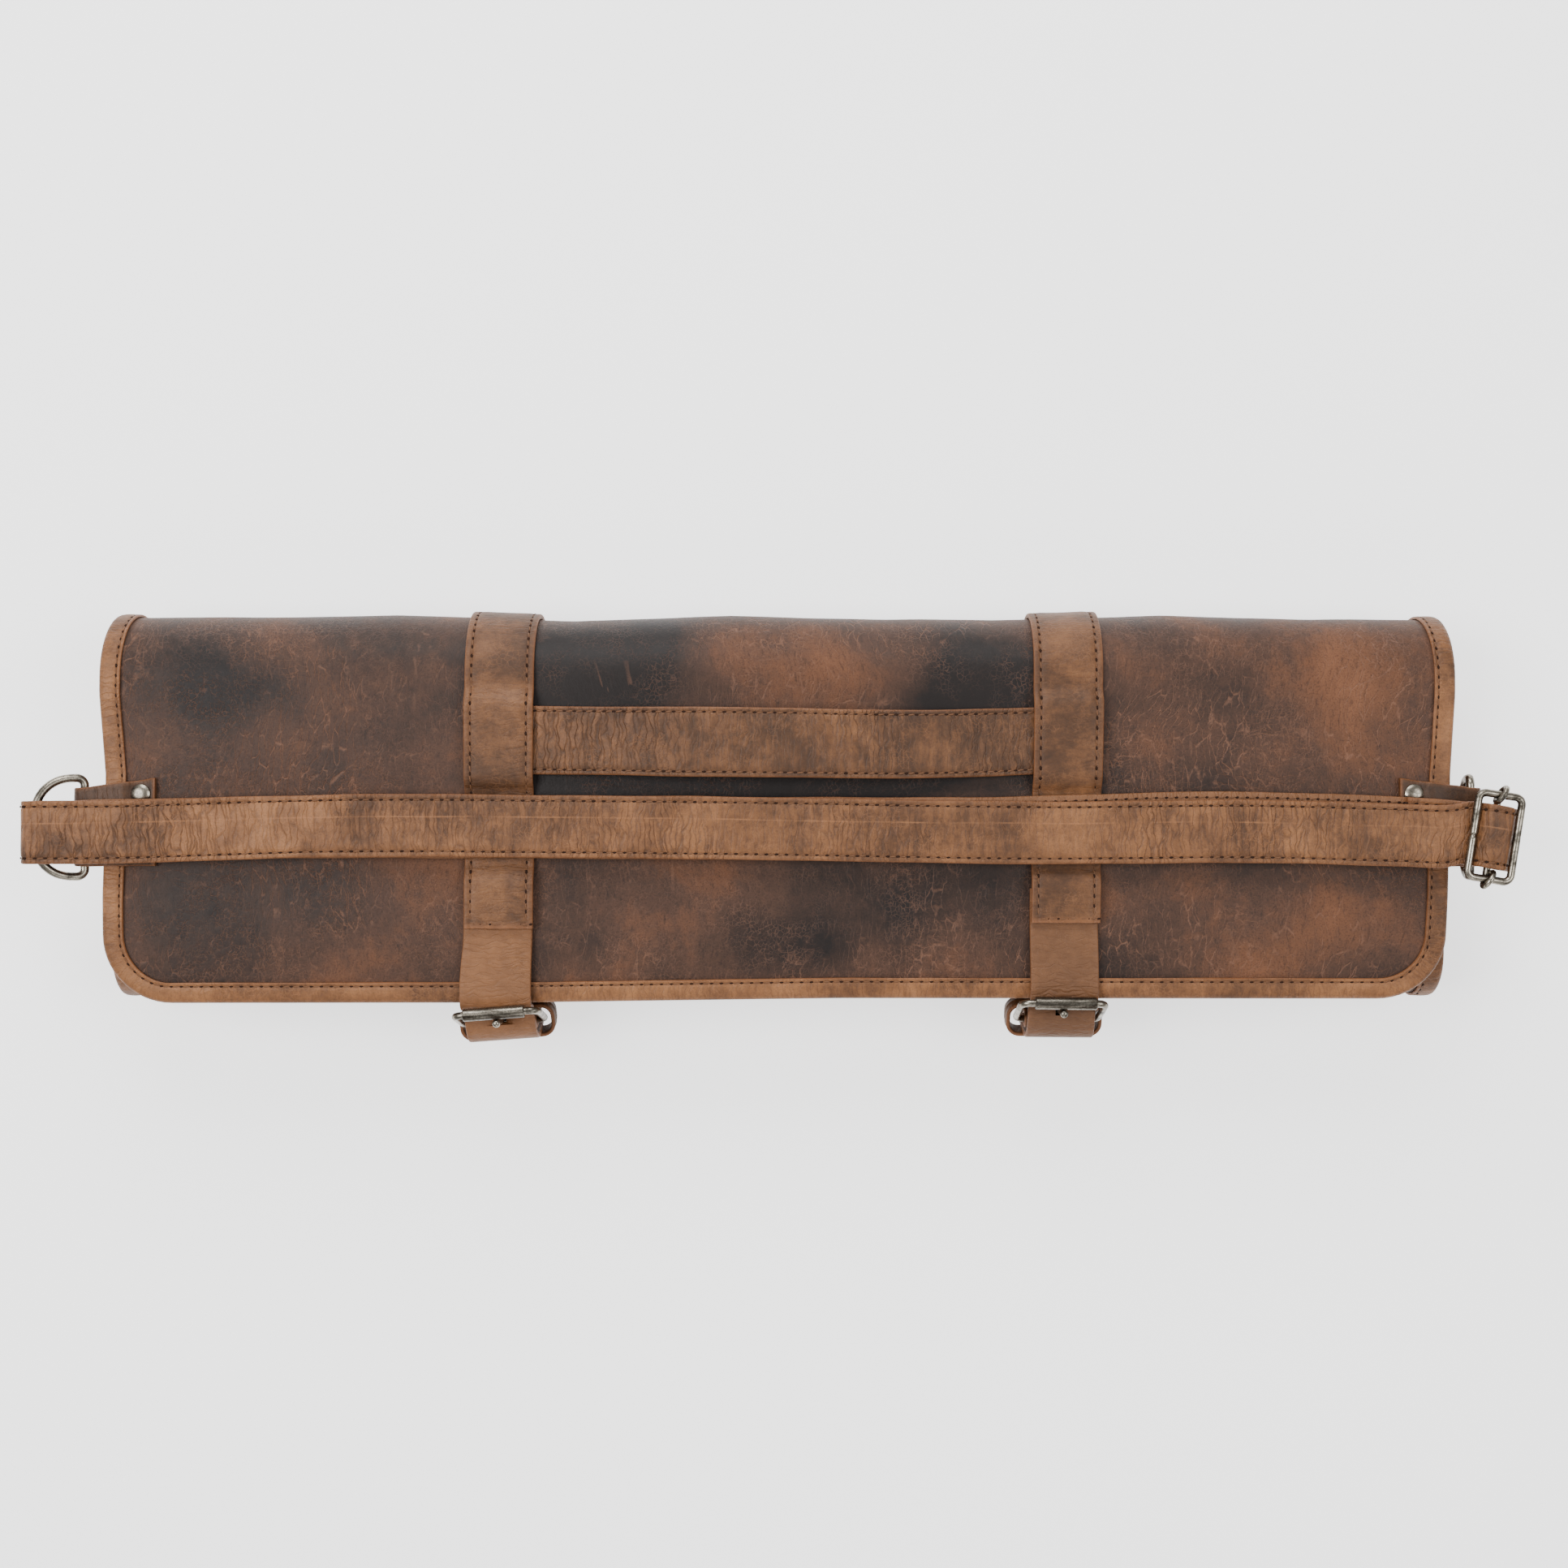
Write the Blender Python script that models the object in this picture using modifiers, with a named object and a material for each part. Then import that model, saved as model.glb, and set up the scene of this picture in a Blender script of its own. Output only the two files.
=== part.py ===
"""Leather chef knife roll, rolled up and buckled, lying on its back.

Lengths are written in millimetres and scaled to metres as each mesh is made.
+X runs along the roll, +Y towards the top fold, +Z up from the surface it lies on.
"""
import math

import bmesh
import bpy
from mathutils import Matrix, Vector

MM = 0.001
GAP = 0.3

# The roll is modelled about the point under the viewer and then shifted so that its box is centred
SHIFT_X = 4.95
SHIFT_Y = 16.25

# Leather thicknesses
PANEL_WALL = 2.6
BINDING_WALL = 1.0
STRAP_WALL = 2.0
BILLET_WALL = 2.2
CHAPE_WALL = 1.8
TAB_WALL = 1.8
HANDLE_WALL = 2.6
SHOULDER_WALL = 2.2
KEEPER_WALL = 1.5

# Wire radii
RING_WIRE = 1.55
BUCKLE_WIRE = 1.35
PRONG_WIRE = 1.25
SLIDER_WIRE = 1.4
SLIDER_BAR_WIRE = 1.3

# The panel, rolled from the flap's edge inwards
TOP_Z = 48.7
FLAP_START_Y = -78.3
FLAP_START_Z = 46.3
FLAP_START_RISE = 9.2
CORNER_RADIUS = 25.0
BINDING_WIDTH = 8.0
EDGE_INSET = GAP + BINDING_WALL
ARC_STEP = 15.5
LONGEST_STEP = 60.0
CORNER_STEPS = 5

# Each row is a stretch of the rolled panel: its name, its length, and its turn inwards in degrees
ROLL_ROWS = (
    ("flap_droop", 30.0, FLAP_START_RISE),
    ("flap", 88.0, 0.0),
    ("top_fold", 70.8, 180.0),
    ("back", 59.5, 0.0),
    ("back_rise", 10.0, 12.0),
    ("back_level", 10.0, -12.0),
    ("back_end", 23.0, 0.0),
    ("front_fold", 49.0, 177.5),
    ("second_layer", 101.5, 0.0),
    ("inner_fold", 44.6, 182.5),
    ("third_layer", 98.0, 0.0),
    ("core_fold", 26.7, 182.0),
    ("last_layer", 78.0, 0.0),
)

# Each row is a distance from the flap's edge, and the x of both sides there, binding included
SIDE_ROWS = (
    (0.0, -251.8, 243.8),
    (38.0, -252.0, 245.5),
    (66.0, -251.0, 246.0),
    (82.0, -250.8, 246.3),
    (112.0, -253.2, 248.2),
    (160.0, -252.6, 248.0),
    (691.0, -252.2, 247.8),
)

# How far the flap's edge hangs past its mean line, and how the top fold waves
FLAP_EDGE_ROWS = ((-252.0, -1.7), (-100.0, -1.5), (20.0, 0.2), (250.0, 0.0))
TOP_WAVE_ROWS = (
    (-200.0, 0.0), (-146.0, 1.2), (-80.0, -1.4), (-20.0, 0.9),
    (40.0, -0.6), (80.0, -0.9), (145.0, 0.7), (200.0, -0.8),
)
TOP_FOLD_MIDDLE = 153.4
TOP_WAVE_REACH = 45.0
FLAP_SHIFT_REACH = 60.0

# How much longer the sheet is than its level run: the droop at the flap's edge, the rise in the back
DROOP_EXTRA = 0.25
RISE_EXTRA = 0.15

# Each row is one side's closing strap and buckle
BUCKLE_COLUMNS = (
    "side", "strap_x", "strap_drift", "frame_x", "roller_x", "billet_x", "billet_width",
    "edge_y", "lean", "heel_out", "yaw", "sewn_end_y",
)
BUCKLE_ROWS = (
    ("left", -105.0, 0.0, -106.0, -106.7, -106.4, 26.2, -81.2, 52.0, 5.6, 4.2, -53.0),
    ("right", 105.4, -2.3, 102.8, 103.5, 103.4, 25.2, -79.6, 70.0, 8.0, -0.5, -51.0),
)
CLOSING_STRAP_WIDTH = 25.5
BUCKLE_LENGTH = 21.5
BUCKLE_INNER_WIDTH = 28.0
BUCKLE_CORNER = 3.2
ROLLER_RADIUS = 2.35
ROLLER_LENGTH = 22.6
BILLET_BEND = 3.4
BILLET_BEND_IN = 1.7
BILLET_BEND_Z = 47.9
ROLLER_PLAY = 0.45
KEEPER_WIDTH = 36.4
KEEPER_DEPTH = 13.4
KEEPER_BAND = 8.5
KEEPER_CORNER = 4.5
KEEPER_TILT = 16.0
KEEPER_BELOW_HEEL = 9.6
PRONG_SLOT = 4.2
PRONG_PLAY = 0.25

# Rings, tabs and rivets at both ends
RING_HALF_HEIGHT = 18.2
RING_DEPTH = 18.0
RING_CORNER = 2.8
RING_SQUARENESS = 2.4
RING_Y = -16.0
RING_BAR_OUT = 8.0
TAB_EDGE_X = {"left": -250.8, "right": 246.0}
RIVET_IN = 13.9
RIVET_YS = {"upper": -3.6, "lower": -24.0}
RIVET_HEAD = 3.2
RIVET_SHANK = 1.5
RING_SLOPES = {"left": 26.6, "right": -80.0}
TAB_LENGTH = 19.0

# The adjuster lies over the right tab
SLIDER_X = 257.8
SLIDER_Y = -19.3
SLIDER_Z = 62.8
SLIDER_YAW = -9.0
SLIDER_HALF_LONG = 15.5
SLIDER_HALF_WIDE = 7.9
SLIDER_CORNER = 2.6
SLIDER_EYE = 2.75
SLIDER_EYE_WIRE = 1.05
SHOULDER_WIDTH = 23.0


def reset_scene():
    for scene_object in list(bpy.data.objects):
        bpy.data.objects.remove(scene_object, do_unlink=True)


def collection(name):
    group = bpy.data.collections.new(name)
    bpy.context.scene.collection.children.link(group)
    return group


def material(name, colour, roughness, metallic):
    made = bpy.data.materials.new(name)
    made.use_nodes = True
    shader = made.node_tree.nodes["Principled BSDF"]
    shader.inputs["Base Color"].default_value = (*colour, 1.0)
    shader.inputs["Roughness"].default_value = roughness
    shader.inputs["Metallic"].default_value = metallic
    return made


def place(scene_object, finish):
    """Put one piece in the roll's collection, under its origin, with its own material."""
    for group in list(scene_object.users_collection):
        group.objects.unlink(scene_object)
    PIECES.objects.link(scene_object)
    scene_object.parent = ROLL_ORIGIN
    scene_object.data.materials.clear()
    scene_object.data.materials.append(material(scene_object.name, *finish))
    return scene_object


def mix(low, high, share):
    return low + (high - low) * share


def table_value(rows, key, column=1):
    """Read a table at a key, with straight lines between its rows."""
    if key <= rows[0][0]:
        return rows[0][column]
    for row, following in zip(rows, rows[1:]):
        if key <= following[0]:
            return mix(row[column], following[column], (key - row[0]) / (following[0] - row[0]))
    return rows[-1][column]


def smooth_rows(rows, bend=18.0, longest=45.0):
    """Pass a smooth curve through rows whose first three values are a point."""
    rows = [Vector(row) for row in rows]
    points = [row.to_3d() for row in rows]
    spans = [(b - a).length for a, b in zip(points, points[1:])]
    slopes = [(b - a) / span for a, b, span in zip(rows, rows[1:], spans)]
    tangents = [slopes[0]]
    for index in range(1, len(rows) - 1):
        before = spans[index - 1]
        after = spans[index]
        tangents.append((slopes[index - 1] * after + slopes[index] * before) / (before + after))
    tangents.append(slopes[-1])
    result = []
    for index, span in enumerate(spans):
        turn = math.degrees(tangents[index].to_3d().angle(tangents[index + 1].to_3d(), 0.0))
        steps = max(1, math.ceil(turn / bend), math.ceil(span / longest))
        for step in range(steps):
            t = step / steps
            start = rows[index] * (2 * t**3 - 3 * t**2 + 1) + rows[index + 1] * (3 * t**2 - 2 * t**3)
            lead = tangents[index] * (t**3 - 2 * t**2 + t) + tangents[index + 1] * (t**3 - t**2)
            result.append(start + lead * span)
    result.append(rows[-1])
    return result


# The rolled panel as a surface: x along the roll, s from the flap's edge inwards
def roll_frame(distance):
    """Give the point (y, z) and the direction (y, z) of the rolled sheet's middle at a distance."""
    y = FLAP_START_Y
    z = FLAP_START_Z
    heading = math.radians(FLAP_START_RISE)
    if distance <= 0.0:
        return (y + distance * math.cos(heading), z + distance * math.sin(heading), heading)
    for name, length, turn in ROLL_ROWS:
        travelled = min(distance, length)
        swept = math.radians(turn) * travelled / length
        if turn == 0.0:
            y += travelled * math.cos(heading)
            z += travelled * math.sin(heading)
        else:
            radius = length / math.radians(turn)
            y += radius * (math.sin(heading) - math.sin(heading - swept))
            z += radius * (math.cos(heading - swept) - math.cos(heading))
        heading -= swept
        distance -= travelled
        if distance <= 0.0:
            break
    return (y, z, heading)


ROLL_LENGTH = sum(row[1] for row in ROLL_ROWS)


def top_wave(x, distance):
    """Push the top fold in and out a little along the roll."""
    reach = (distance - TOP_FOLD_MIDDLE) / TOP_WAVE_REACH
    return table_value(TOP_WAVE_ROWS, x) * math.exp(-reach * reach)


def roll_point(x, distance, outwards=0.0):
    """Give a point on the rolled sheet, moved outwards from the sheet's middle."""
    y, z, heading = roll_frame(distance)
    y -= outwards * math.sin(heading)
    z += outwards * math.cos(heading)
    return Vector((x, y + top_wave(x, distance), z))


def flap_distance(y):
    """Give the distance from the flap's edge at which the top of the roll reaches y."""
    return y - FLAP_START_Y + DROOP_EXTRA


BACK_START = sum(row[1] for row in ROLL_ROWS[:3])


def back_distance(y):
    """Give the distance from the flap's edge at which the back of the roll reaches y."""
    return BACK_START + roll_frame(BACK_START)[0] - y + RISE_EXTRA


def panel_side(column, distance):
    """Give the x of the panel's own edge, inside the binding."""
    inset = EDGE_INSET if column == 1 else -EDGE_INSET
    return table_value(SIDE_ROWS, distance, column) + inset


def stretch_stations(start, end):
    """List distances along the roll: close together on folds and far apart on flat stretches."""
    stations = [start]
    reached = 0.0
    for name, length, turn in ROLL_ROWS:
        steps = max(math.ceil(abs(turn) / ARC_STEP), math.ceil(length / LONGEST_STEP))
        for step in range(1, steps + 1):
            station = reached + length * step / steps
            if start + 1.0 < station < end - 1.0:
                stations.append(station)
        reached += length
    stations.append(end)
    return stations


# Builders for sheets, straps and wires
def grid_object(name, corners, finish, thickness=0.0, closed=False):
    """Make a sheet from rows of points, give it a wall by Solidify, and place it."""
    rows = len(corners)
    columns = len(corners[0])
    sheet = bmesh.new()
    bmesh.ops.create_grid(sheet, x_segments=rows - 1, y_segments=columns - 1, size=0.5)
    for vertex in sheet.verts:
        row = round((vertex.co.x + 0.5) * (rows - 1))
        column = round((vertex.co.y + 0.5) * (columns - 1))
        vertex.co = corners[row][column] * MM
    if closed:
        bmesh.ops.remove_doubles(sheet, verts=sheet.verts, dist=0.00001)
    mesh = bpy.data.meshes.new(name)
    sheet.to_mesh(mesh)
    sheet.free()
    made = bpy.data.objects.new(name, mesh)
    PIECES.objects.link(made)
    place(made, finish)
    wall = made.modifiers.new("wall", "SOLIDIFY")
    wall.thickness = thickness * MM
    wall.offset = 0.0
    wall.use_even_offset = True
    return made


def strap_object(name, rows, thickness, finish):
    """Make a strap from rows of x, y, z, yaw in degrees and width."""
    corners = []
    for x, y, z, yaw, width in rows:
        across = Vector((math.sin(math.radians(-yaw)), math.cos(math.radians(yaw)), 0.0)) * width / 2
        corners.append((Vector((x, y, z)) - across, Vector((x, y, z)) + across))
    return grid_object(name, corners, finish, thickness)


def lengthwise_strap(name, rows, thickness, finish):
    """Make a strap whose width lies along x, from rows of x, y, z, yaw in degrees and width."""
    corners = []
    for x, y, z, yaw, width in rows:
        across = Vector((math.cos(math.radians(yaw)), math.sin(math.radians(yaw)), 0.0)) * width / 2
        corners.append((Vector((x, y, z)) - across, Vector((x, y, z)) + across))
    return grid_object(name, corners, finish, thickness)


def wire_object(name, points, radius, finish, closed, swell=None, sides=2):
    """Make a wire as a curve with a round bevel and filled caps."""
    curve = bpy.data.curves.new(name, "CURVE")
    curve.dimensions = "3D"
    curve.bevel_depth = radius * MM
    curve.bevel_resolution = sides
    curve.use_fill_caps = True
    spline = curve.splines.new("POLY")
    spline.points.add(len(points) - 1)
    spline.use_cyclic_u = closed
    for index, point in enumerate(points):
        spline.points[index].co = (*(point * MM), 1.0)
        spline.points[index].radius = swell[index] if swell else 1.0
    made = bpy.data.objects.new(name, curve)
    PIECES.objects.link(made)
    return place(made, finish)


def wire_mesh(name, points, radius, closed):
    """Make a wire as a closed mesh, ready for a Boolean."""
    wire = wire_object(name + "_wire", points, radius, ANTIQUE_METAL, closed)
    bpy.context.view_layer.update()
    shape = wire.evaluated_get(bpy.context.evaluated_depsgraph_get())
    mesh = bpy.data.meshes.new_from_object(shape)
    welded = bmesh.new()
    welded.from_mesh(mesh)
    bmesh.ops.remove_doubles(welded, verts=welded.verts, dist=0.00001)
    welded.to_mesh(mesh)
    welded.free()
    made = bpy.data.objects.new(name, mesh)
    made.matrix_world = wire.matrix_world
    bpy.data.objects.remove(wire, do_unlink=True)
    PIECES.objects.link(made)
    made.parent = ROLL_ORIGIN
    made.matrix_parent_inverse = Matrix.Identity(4)
    made.location = (0.0, 0.0, 0.0)
    return made


def turned_object(name, profile, steps, finish, closed):
    """Turn a profile of (radius, height) rows round Z with a Screw modifier."""
    mesh = bpy.data.meshes.new(name)
    outline = bmesh.new()
    corners = [outline.verts.new((radius * MM, 0.0, height * MM)) for radius, height in profile]
    for first, second in zip(corners, corners[1:]):
        outline.edges.new((first, second))
    if closed:
        outline.edges.new((corners[-1], corners[0]))
    outline.to_mesh(mesh)
    outline.free()
    made = bpy.data.objects.new(name, mesh)
    PIECES.objects.link(made)
    place(made, finish)
    turn = made.modifiers.new("turn", "SCREW")
    turn.steps = steps
    turn.render_steps = steps
    turn.use_merge_vertices = True
    turn.merge_threshold = 0.00001
    return made


def cutter(name, centre, size, rotation=None):
    """Make a hidden box that cuts a slot."""
    bpy.ops.mesh.primitive_cube_add(size=1.0)
    return hide_cutter(name, centre, size, rotation)


def round_cutter(name, centre, radius, length, rotation=None):
    """Make a hidden cylinder that cuts a round hole."""
    bpy.ops.mesh.primitive_cylinder_add(vertices=14, radius=1.0, depth=1.0)
    return hide_cutter(name, centre, (radius, radius, length), rotation)


def hide_cutter(name, centre, size, rotation):
    tool = bpy.context.object
    tool.name = name
    tool.data.transform(Matrix.Diagonal((size[0] * MM, size[1] * MM, size[2] * MM, 1.0)))
    turn = rotation if rotation else Matrix.Identity(4)
    tool.data.transform(Matrix.Translation(centre * MM) @ turn)
    for group in list(tool.users_collection):
        group.objects.unlink(tool)
    CUTTERS.objects.link(tool)
    tool.parent = ROLL_ORIGIN
    tool.hide_render = True
    tool.display_type = "WIRE"
    return tool


def boolean(target, tool, operation):
    """Cut or join one object with another by an exact Boolean."""
    change = target.modifiers.new(operation.lower(), "BOOLEAN")
    change.operation = operation
    change.solver = "EXACT"
    change.object = tool


# The panel and its binding
def make_panel():
    corner = CORNER_RADIUS - EDGE_INSET
    inner_columns = [row[0] for row in TOP_WAVE_ROWS]
    corner_stations = [
        corner * (1.0 - math.cos(math.radians(90.0 * step / CORNER_STEPS)))
        for step in range(CORNER_STEPS + 1)
    ]
    stations = corner_stations + stretch_stations(corner, ROLL_LENGTH)[1:]
    corners = []
    for distance in stations:
        inset = 0.0
        if distance < corner:
            inset = corner - math.sqrt(corner**2 - (corner - distance) ** 2)
        left = panel_side(1, distance) + inset
        right = panel_side(2, distance) - inset
        row = []
        for x in (left, *inner_columns, right):
            row.append(roll_point(x, distance + flap_edge_shift(x, distance)))
        corners.append(row)
    panel = grid_object("panel", corners, PANEL_LEATHER, PANEL_WALL)
    for side in ("left", "right"):
        for level in RIVET_YS:
            boolean(panel, rivet_cutter(side, level), "DIFFERENCE")


def flap_edge_shift(x, distance):
    """Lengthen or shorten the flap along the roll, fading out away from its edge."""
    fade = max(0.0, 1.0 - max(distance, 0.0) / FLAP_SHIFT_REACH)
    return table_value(FLAP_EDGE_ROWS, x) * fade


def binding_stations():
    """List the panel's edge as (x, distance, inwards x, inwards distance), from right to left."""
    corner = CORNER_RADIUS - EDGE_INSET
    sides = stretch_stations(corner, ROLL_LENGTH)
    stations = []
    for distance in reversed(sides[1:]):
        stations.append((panel_side(2, distance), distance, -1.0, 0.0))
    for step in range(CORNER_STEPS + 1):
        angle = math.radians(90.0 * step / CORNER_STEPS)
        x = panel_side(2, corner) - corner + corner * math.cos(angle)
        stations.append((x, corner - corner * math.sin(angle), -math.cos(angle), math.sin(angle)))
    for x, wave in reversed(TOP_WAVE_ROWS):
        stations.append((x, 0.0, 0.0, 1.0))
    for step in range(CORNER_STEPS + 1):
        angle = math.radians(90.0 * (1.0 - step / CORNER_STEPS))
        x = panel_side(1, corner) + corner - corner * math.cos(angle)
        stations.append((x, corner - corner * math.sin(angle), math.cos(angle), math.sin(angle)))
    for distance in sides[1:]:
        stations.append((panel_side(1, distance), distance, 1.0, 0.0))
    return stations


def make_binding():
    """Fold the binding over the panel's edge: a leg on each face and a web outside the edge."""
    leg_height = PANEL_WALL / 2 + GAP + BINDING_WALL / 2
    web_out = GAP + BINDING_WALL / 2
    leg_in = BINDING_WIDTH - EDGE_INSET
    corners = []
    for x, distance, in_x, in_distance in binding_stations():
        section = []
        for reach, height in (
            (leg_in, leg_height), (-web_out, leg_height), (-web_out, -leg_height), (leg_in, -leg_height),
        ):
            across_x = x + in_x * reach
            along = distance + in_distance * reach
            section.append(roll_point(across_x, along + flap_edge_shift(x, distance), height))
        corners.append(section)
    grid_object("edge_binding", corners, TRIM_LEATHER, BINDING_WALL)


# The closing straps, billets and buckles
def turned_about(buckle, x, y, z, share=1.0):
    """Turn a point about the buckle's upright axis by a share of its yaw."""
    angle = math.radians(buckle["yaw"] * share)
    across = x - buckle["frame_x"]
    out = y - roller_centre(buckle)[0]
    return (
        buckle["frame_x"] + across * math.cos(angle) - out * math.sin(angle),
        roller_centre(buckle)[0] + across * math.sin(angle) + out * math.cos(angle),
        z,
    )


def roller_centre(buckle):
    """Give the roller's (y, z): it presses the billet round the flap's edge."""
    reach = BILLET_BEND + BILLET_WALL / 2 + GAP + ROLLER_PLAY + ROLLER_RADIUS
    lean = math.radians(buckle["lean"])
    bend_y = buckle["edge_y"] + BILLET_BEND_IN
    return (bend_y - reach * math.cos(lean), BILLET_BEND_Z + reach * math.sin(lean))


def heel_centre(buckle):
    """Give the heel bar's (y, z), below the roller and a little further out."""
    y, z = roller_centre(buckle)
    out = buckle["heel_out"]
    return (y - out, z - math.sqrt(BUCKLE_LENGTH**2 - out**2))


def closing_strap_x(buckle, distance):
    """Follow the strap's slight drift from the top fold down to the flap's edge."""
    drift = max(0.0, 1.0 - distance / TOP_FOLD_MIDDLE)
    return buckle["strap_x"] + buckle["strap_drift"] * drift


def make_closing_strap(buckle):
    """Lay the sewn strap on the panel, lifted over the billet and the handle, and flat under the back."""
    base = PANEL_WALL / 2 + GAP + STRAP_WALL / 2
    over_billet = base + BILLET_WALL + GAP
    over_handle = base + HANDLE_WALL + GAP
    lifts = (
        (flap_distance(buckle["sewn_end_y"]), over_billet),
        (flap_distance(-36.5), over_billet),
        (flap_distance(-31.0), base),
        (flap_distance(-2.0), base),
        (flap_distance(2.8), over_handle),
        (flap_distance(29.4), over_handle),
        (flap_distance(34.5), base),
    )
    end = back_distance(-62.0)
    distances = [row[0] for row in lifts]
    distances += stretch_stations(lifts[-1][0], end)[1:]
    corners = []
    for distance in distances:
        lift = table_value(lifts, distance)
        if distance > BACK_START - 0.01:
            y, z, heading = roll_frame(distance)
            lift = (z - STRAP_WALL / 2) / -math.cos(heading)
        x = closing_strap_x(buckle, distance)
        half = CLOSING_STRAP_WIDTH / 2
        corners.append((roll_point(x - half, distance, lift), roll_point(x + half, distance, lift)))
    grid_object("closing_strap_" + buckle["side"], corners, TRIM_LEATHER, STRAP_WALL)


def make_billet(buckle):
    """Run the billet from under the sewn strap, round the flap's edge, and out over the heel bar."""
    edge = buckle["edge_y"]
    heel_y, heel_z = heel_centre(buckle)
    x = buckle["billet_x"]
    start_x = closing_strap_x(buckle, 0.0)
    width = buckle["billet_width"]
    rows = []
    on_flap = TOP_Z + PANEL_WALL / 2 + GAP + BILLET_WALL / 2
    for y, share in ((-38.5, 0.0), (-54.0, 0.3), (-66.0, 0.8)):
        width_here = mix(CLOSING_STRAP_WIDTH - 0.6, width, share)
        rows.append((mix(start_x, x, share), y, on_flap, 0.0, width_here))
    over_edge = (
        (edge + 7.6, 51.4, 0.0),
        (edge + 1.6, 51.1, 0.0),
        (edge - 0.8, 50.2, 0.0),
        (edge - 1.8, 47.6, 0.1),
        (edge - 2.0, 44.6, 0.4),
    )
    for y, z, share in over_edge:
        turned = turned_about(buckle, x, y, z, share)
        rows.append((*turned, buckle["yaw"] * share, width))
    past_heel = (
        (heel_y + 2.6, heel_z + 9.0),
        (heel_y - 1.2, heel_z + 7.7),
        (heel_y - 4.6, heel_z + 5.0),
        (heel_y - 5.9, heel_z + 0.5),
        (heel_y - 5.3, heel_z - 5.5),
        (heel_y - 3.6, heel_z - 12.0),
        (heel_y - 1.2, heel_z - 20.0),
    )
    for y, z in past_heel:
        rows.append((*turned_about(buckle, x, y, z), buckle["yaw"], width))
    billet = lengthwise_strap("billet_" + buckle["side"], smooth_rows(rows), BILLET_WALL, TRIM_LEATHER)
    prong_y = roller_centre(buckle)[0] - ROLLER_RADIUS - PRONG_PLAY - PRONG_WIRE
    hole = Vector(turned_about(buckle, buckle["frame_x"], prong_y, heel_z + 9.0))
    boolean(billet, cutter(f"prong_hole_{buckle['side']}", hole, (4.0, 3.6, 9.0)), "DIFFERENCE")


def chape_rows(buckle):
    """List the buckle strap: sewn under the back, up the front fold, round the heel bar and back."""
    heel_y, heel_z = heel_centre(buckle)
    loop = BUCKLE_WIRE + GAP + CHAPE_WALL / 2
    on_back = PANEL_WALL / 2 + GAP + CHAPE_WALL / 2
    x = closing_strap_x(buckle, 0.0)
    rows = []
    for y in (-43.5, -52.0, -60.5):
        rows.append((*roll_point(x, back_distance(y), on_back), 0.0, CLOSING_STRAP_WIDTH - 1.0))
    front_fold = back_distance(-60.5)
    for travel, share in ((8.0, 0.1), (15.0, 0.3), (21.0, 0.5)):
        point = roll_point(x, front_fold + travel, on_back + 0.4)
        turned = turned_about(buckle, *point, share)
        rows.append((*turned, buckle["yaw"] * share, CLOSING_STRAP_WIDTH - 1.0))
    upper = [
        (heel_y + 4.0, heel_z - 12.0),
        (heel_y + 2.3, heel_z - 6.0),
    ]
    for angle in (0.0, 30.0, 60.0, 90.0, 120.0, 150.0, 180.0):
        upper.append((
            heel_y + loop * math.cos(math.radians(angle)), heel_z + loop * math.sin(math.radians(angle)),
        ))
    upper.append((heel_y - 1.7, heel_z - 3.2))
    upper.append((heel_y + 0.05, heel_z - 6.7))
    upper.append((heel_y + 1.65, heel_z - 12.2))
    upper.append((heel_y + 3.1, heel_z - 16.0))
    for y, z in upper:
        rows.append((*turned_about(buckle, buckle["frame_x"], y, z), buckle["yaw"], CLOSING_STRAP_WIDTH - 1.0))
    return rows


def make_chape(buckle):
    rows = smooth_rows(chape_rows(buckle), bend=20.0)
    name = "buckle_strap_" + buckle["side"]
    chape = lengthwise_strap(name, rows, CHAPE_WALL, TRIM_LEATHER)
    heel_y, heel_z = heel_centre(buckle)
    slot = Vector(turned_about(buckle, buckle["frame_x"], heel_y, heel_z + 0.8))
    turn = Matrix.Rotation(math.radians(buckle["yaw"]), 4, "Z")
    boolean(chape, cutter(f"prong_slot_{buckle['side']}", slot, (PRONG_SLOT, 12.0, 11.0), turn), "DIFFERENCE")


def make_keeper(buckle):
    """Bend a band of leather round the buckle strap and the billet's tail."""
    heel_y, heel_z = heel_centre(buckle)
    centre_y = heel_y - 0.3
    centre_z = heel_z - KEEPER_BELOW_HEEL
    tilt = math.radians(KEEPER_TILT)
    half_width = (KEEPER_WIDTH - KEEPER_WALL) / 2
    half_depth = (KEEPER_DEPTH - KEEPER_WALL) / 2
    outline = frame_outline(half_width, half_depth, KEEPER_CORNER, 4)
    outline.append(outline[0])
    corners = []
    for x, depth in outline:
        row = []
        for along in (-KEEPER_BAND / 2, KEEPER_BAND / 2):
            y = centre_y + depth * math.cos(tilt) - along * math.sin(tilt)
            z = centre_z + depth * math.sin(tilt) + along * math.cos(tilt)
            row.append(Vector(turned_about(buckle, buckle["frame_x"] + x, y, z)))
        corners.append(row)
    grid_object("keeper_" + buckle["side"], corners, TRIM_LEATHER, KEEPER_WALL, closed=True)


def frame_outline(half_wide, half_long, corner, steps):
    """List a rounded rectangle as (across, along) pairs."""
    outline = []
    for quarter, (sign_a, sign_b) in enumerate(((1, 1), (-1, 1), (-1, -1), (1, -1))):
        for step in range(steps + 1):
            angle = math.radians(90.0 * (quarter + step / steps))
            outline.append((
                sign_a * (half_wide - corner) + corner * math.cos(angle),
                sign_b * (half_long - corner) + corner * math.sin(angle),
            ))
    return outline


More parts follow.
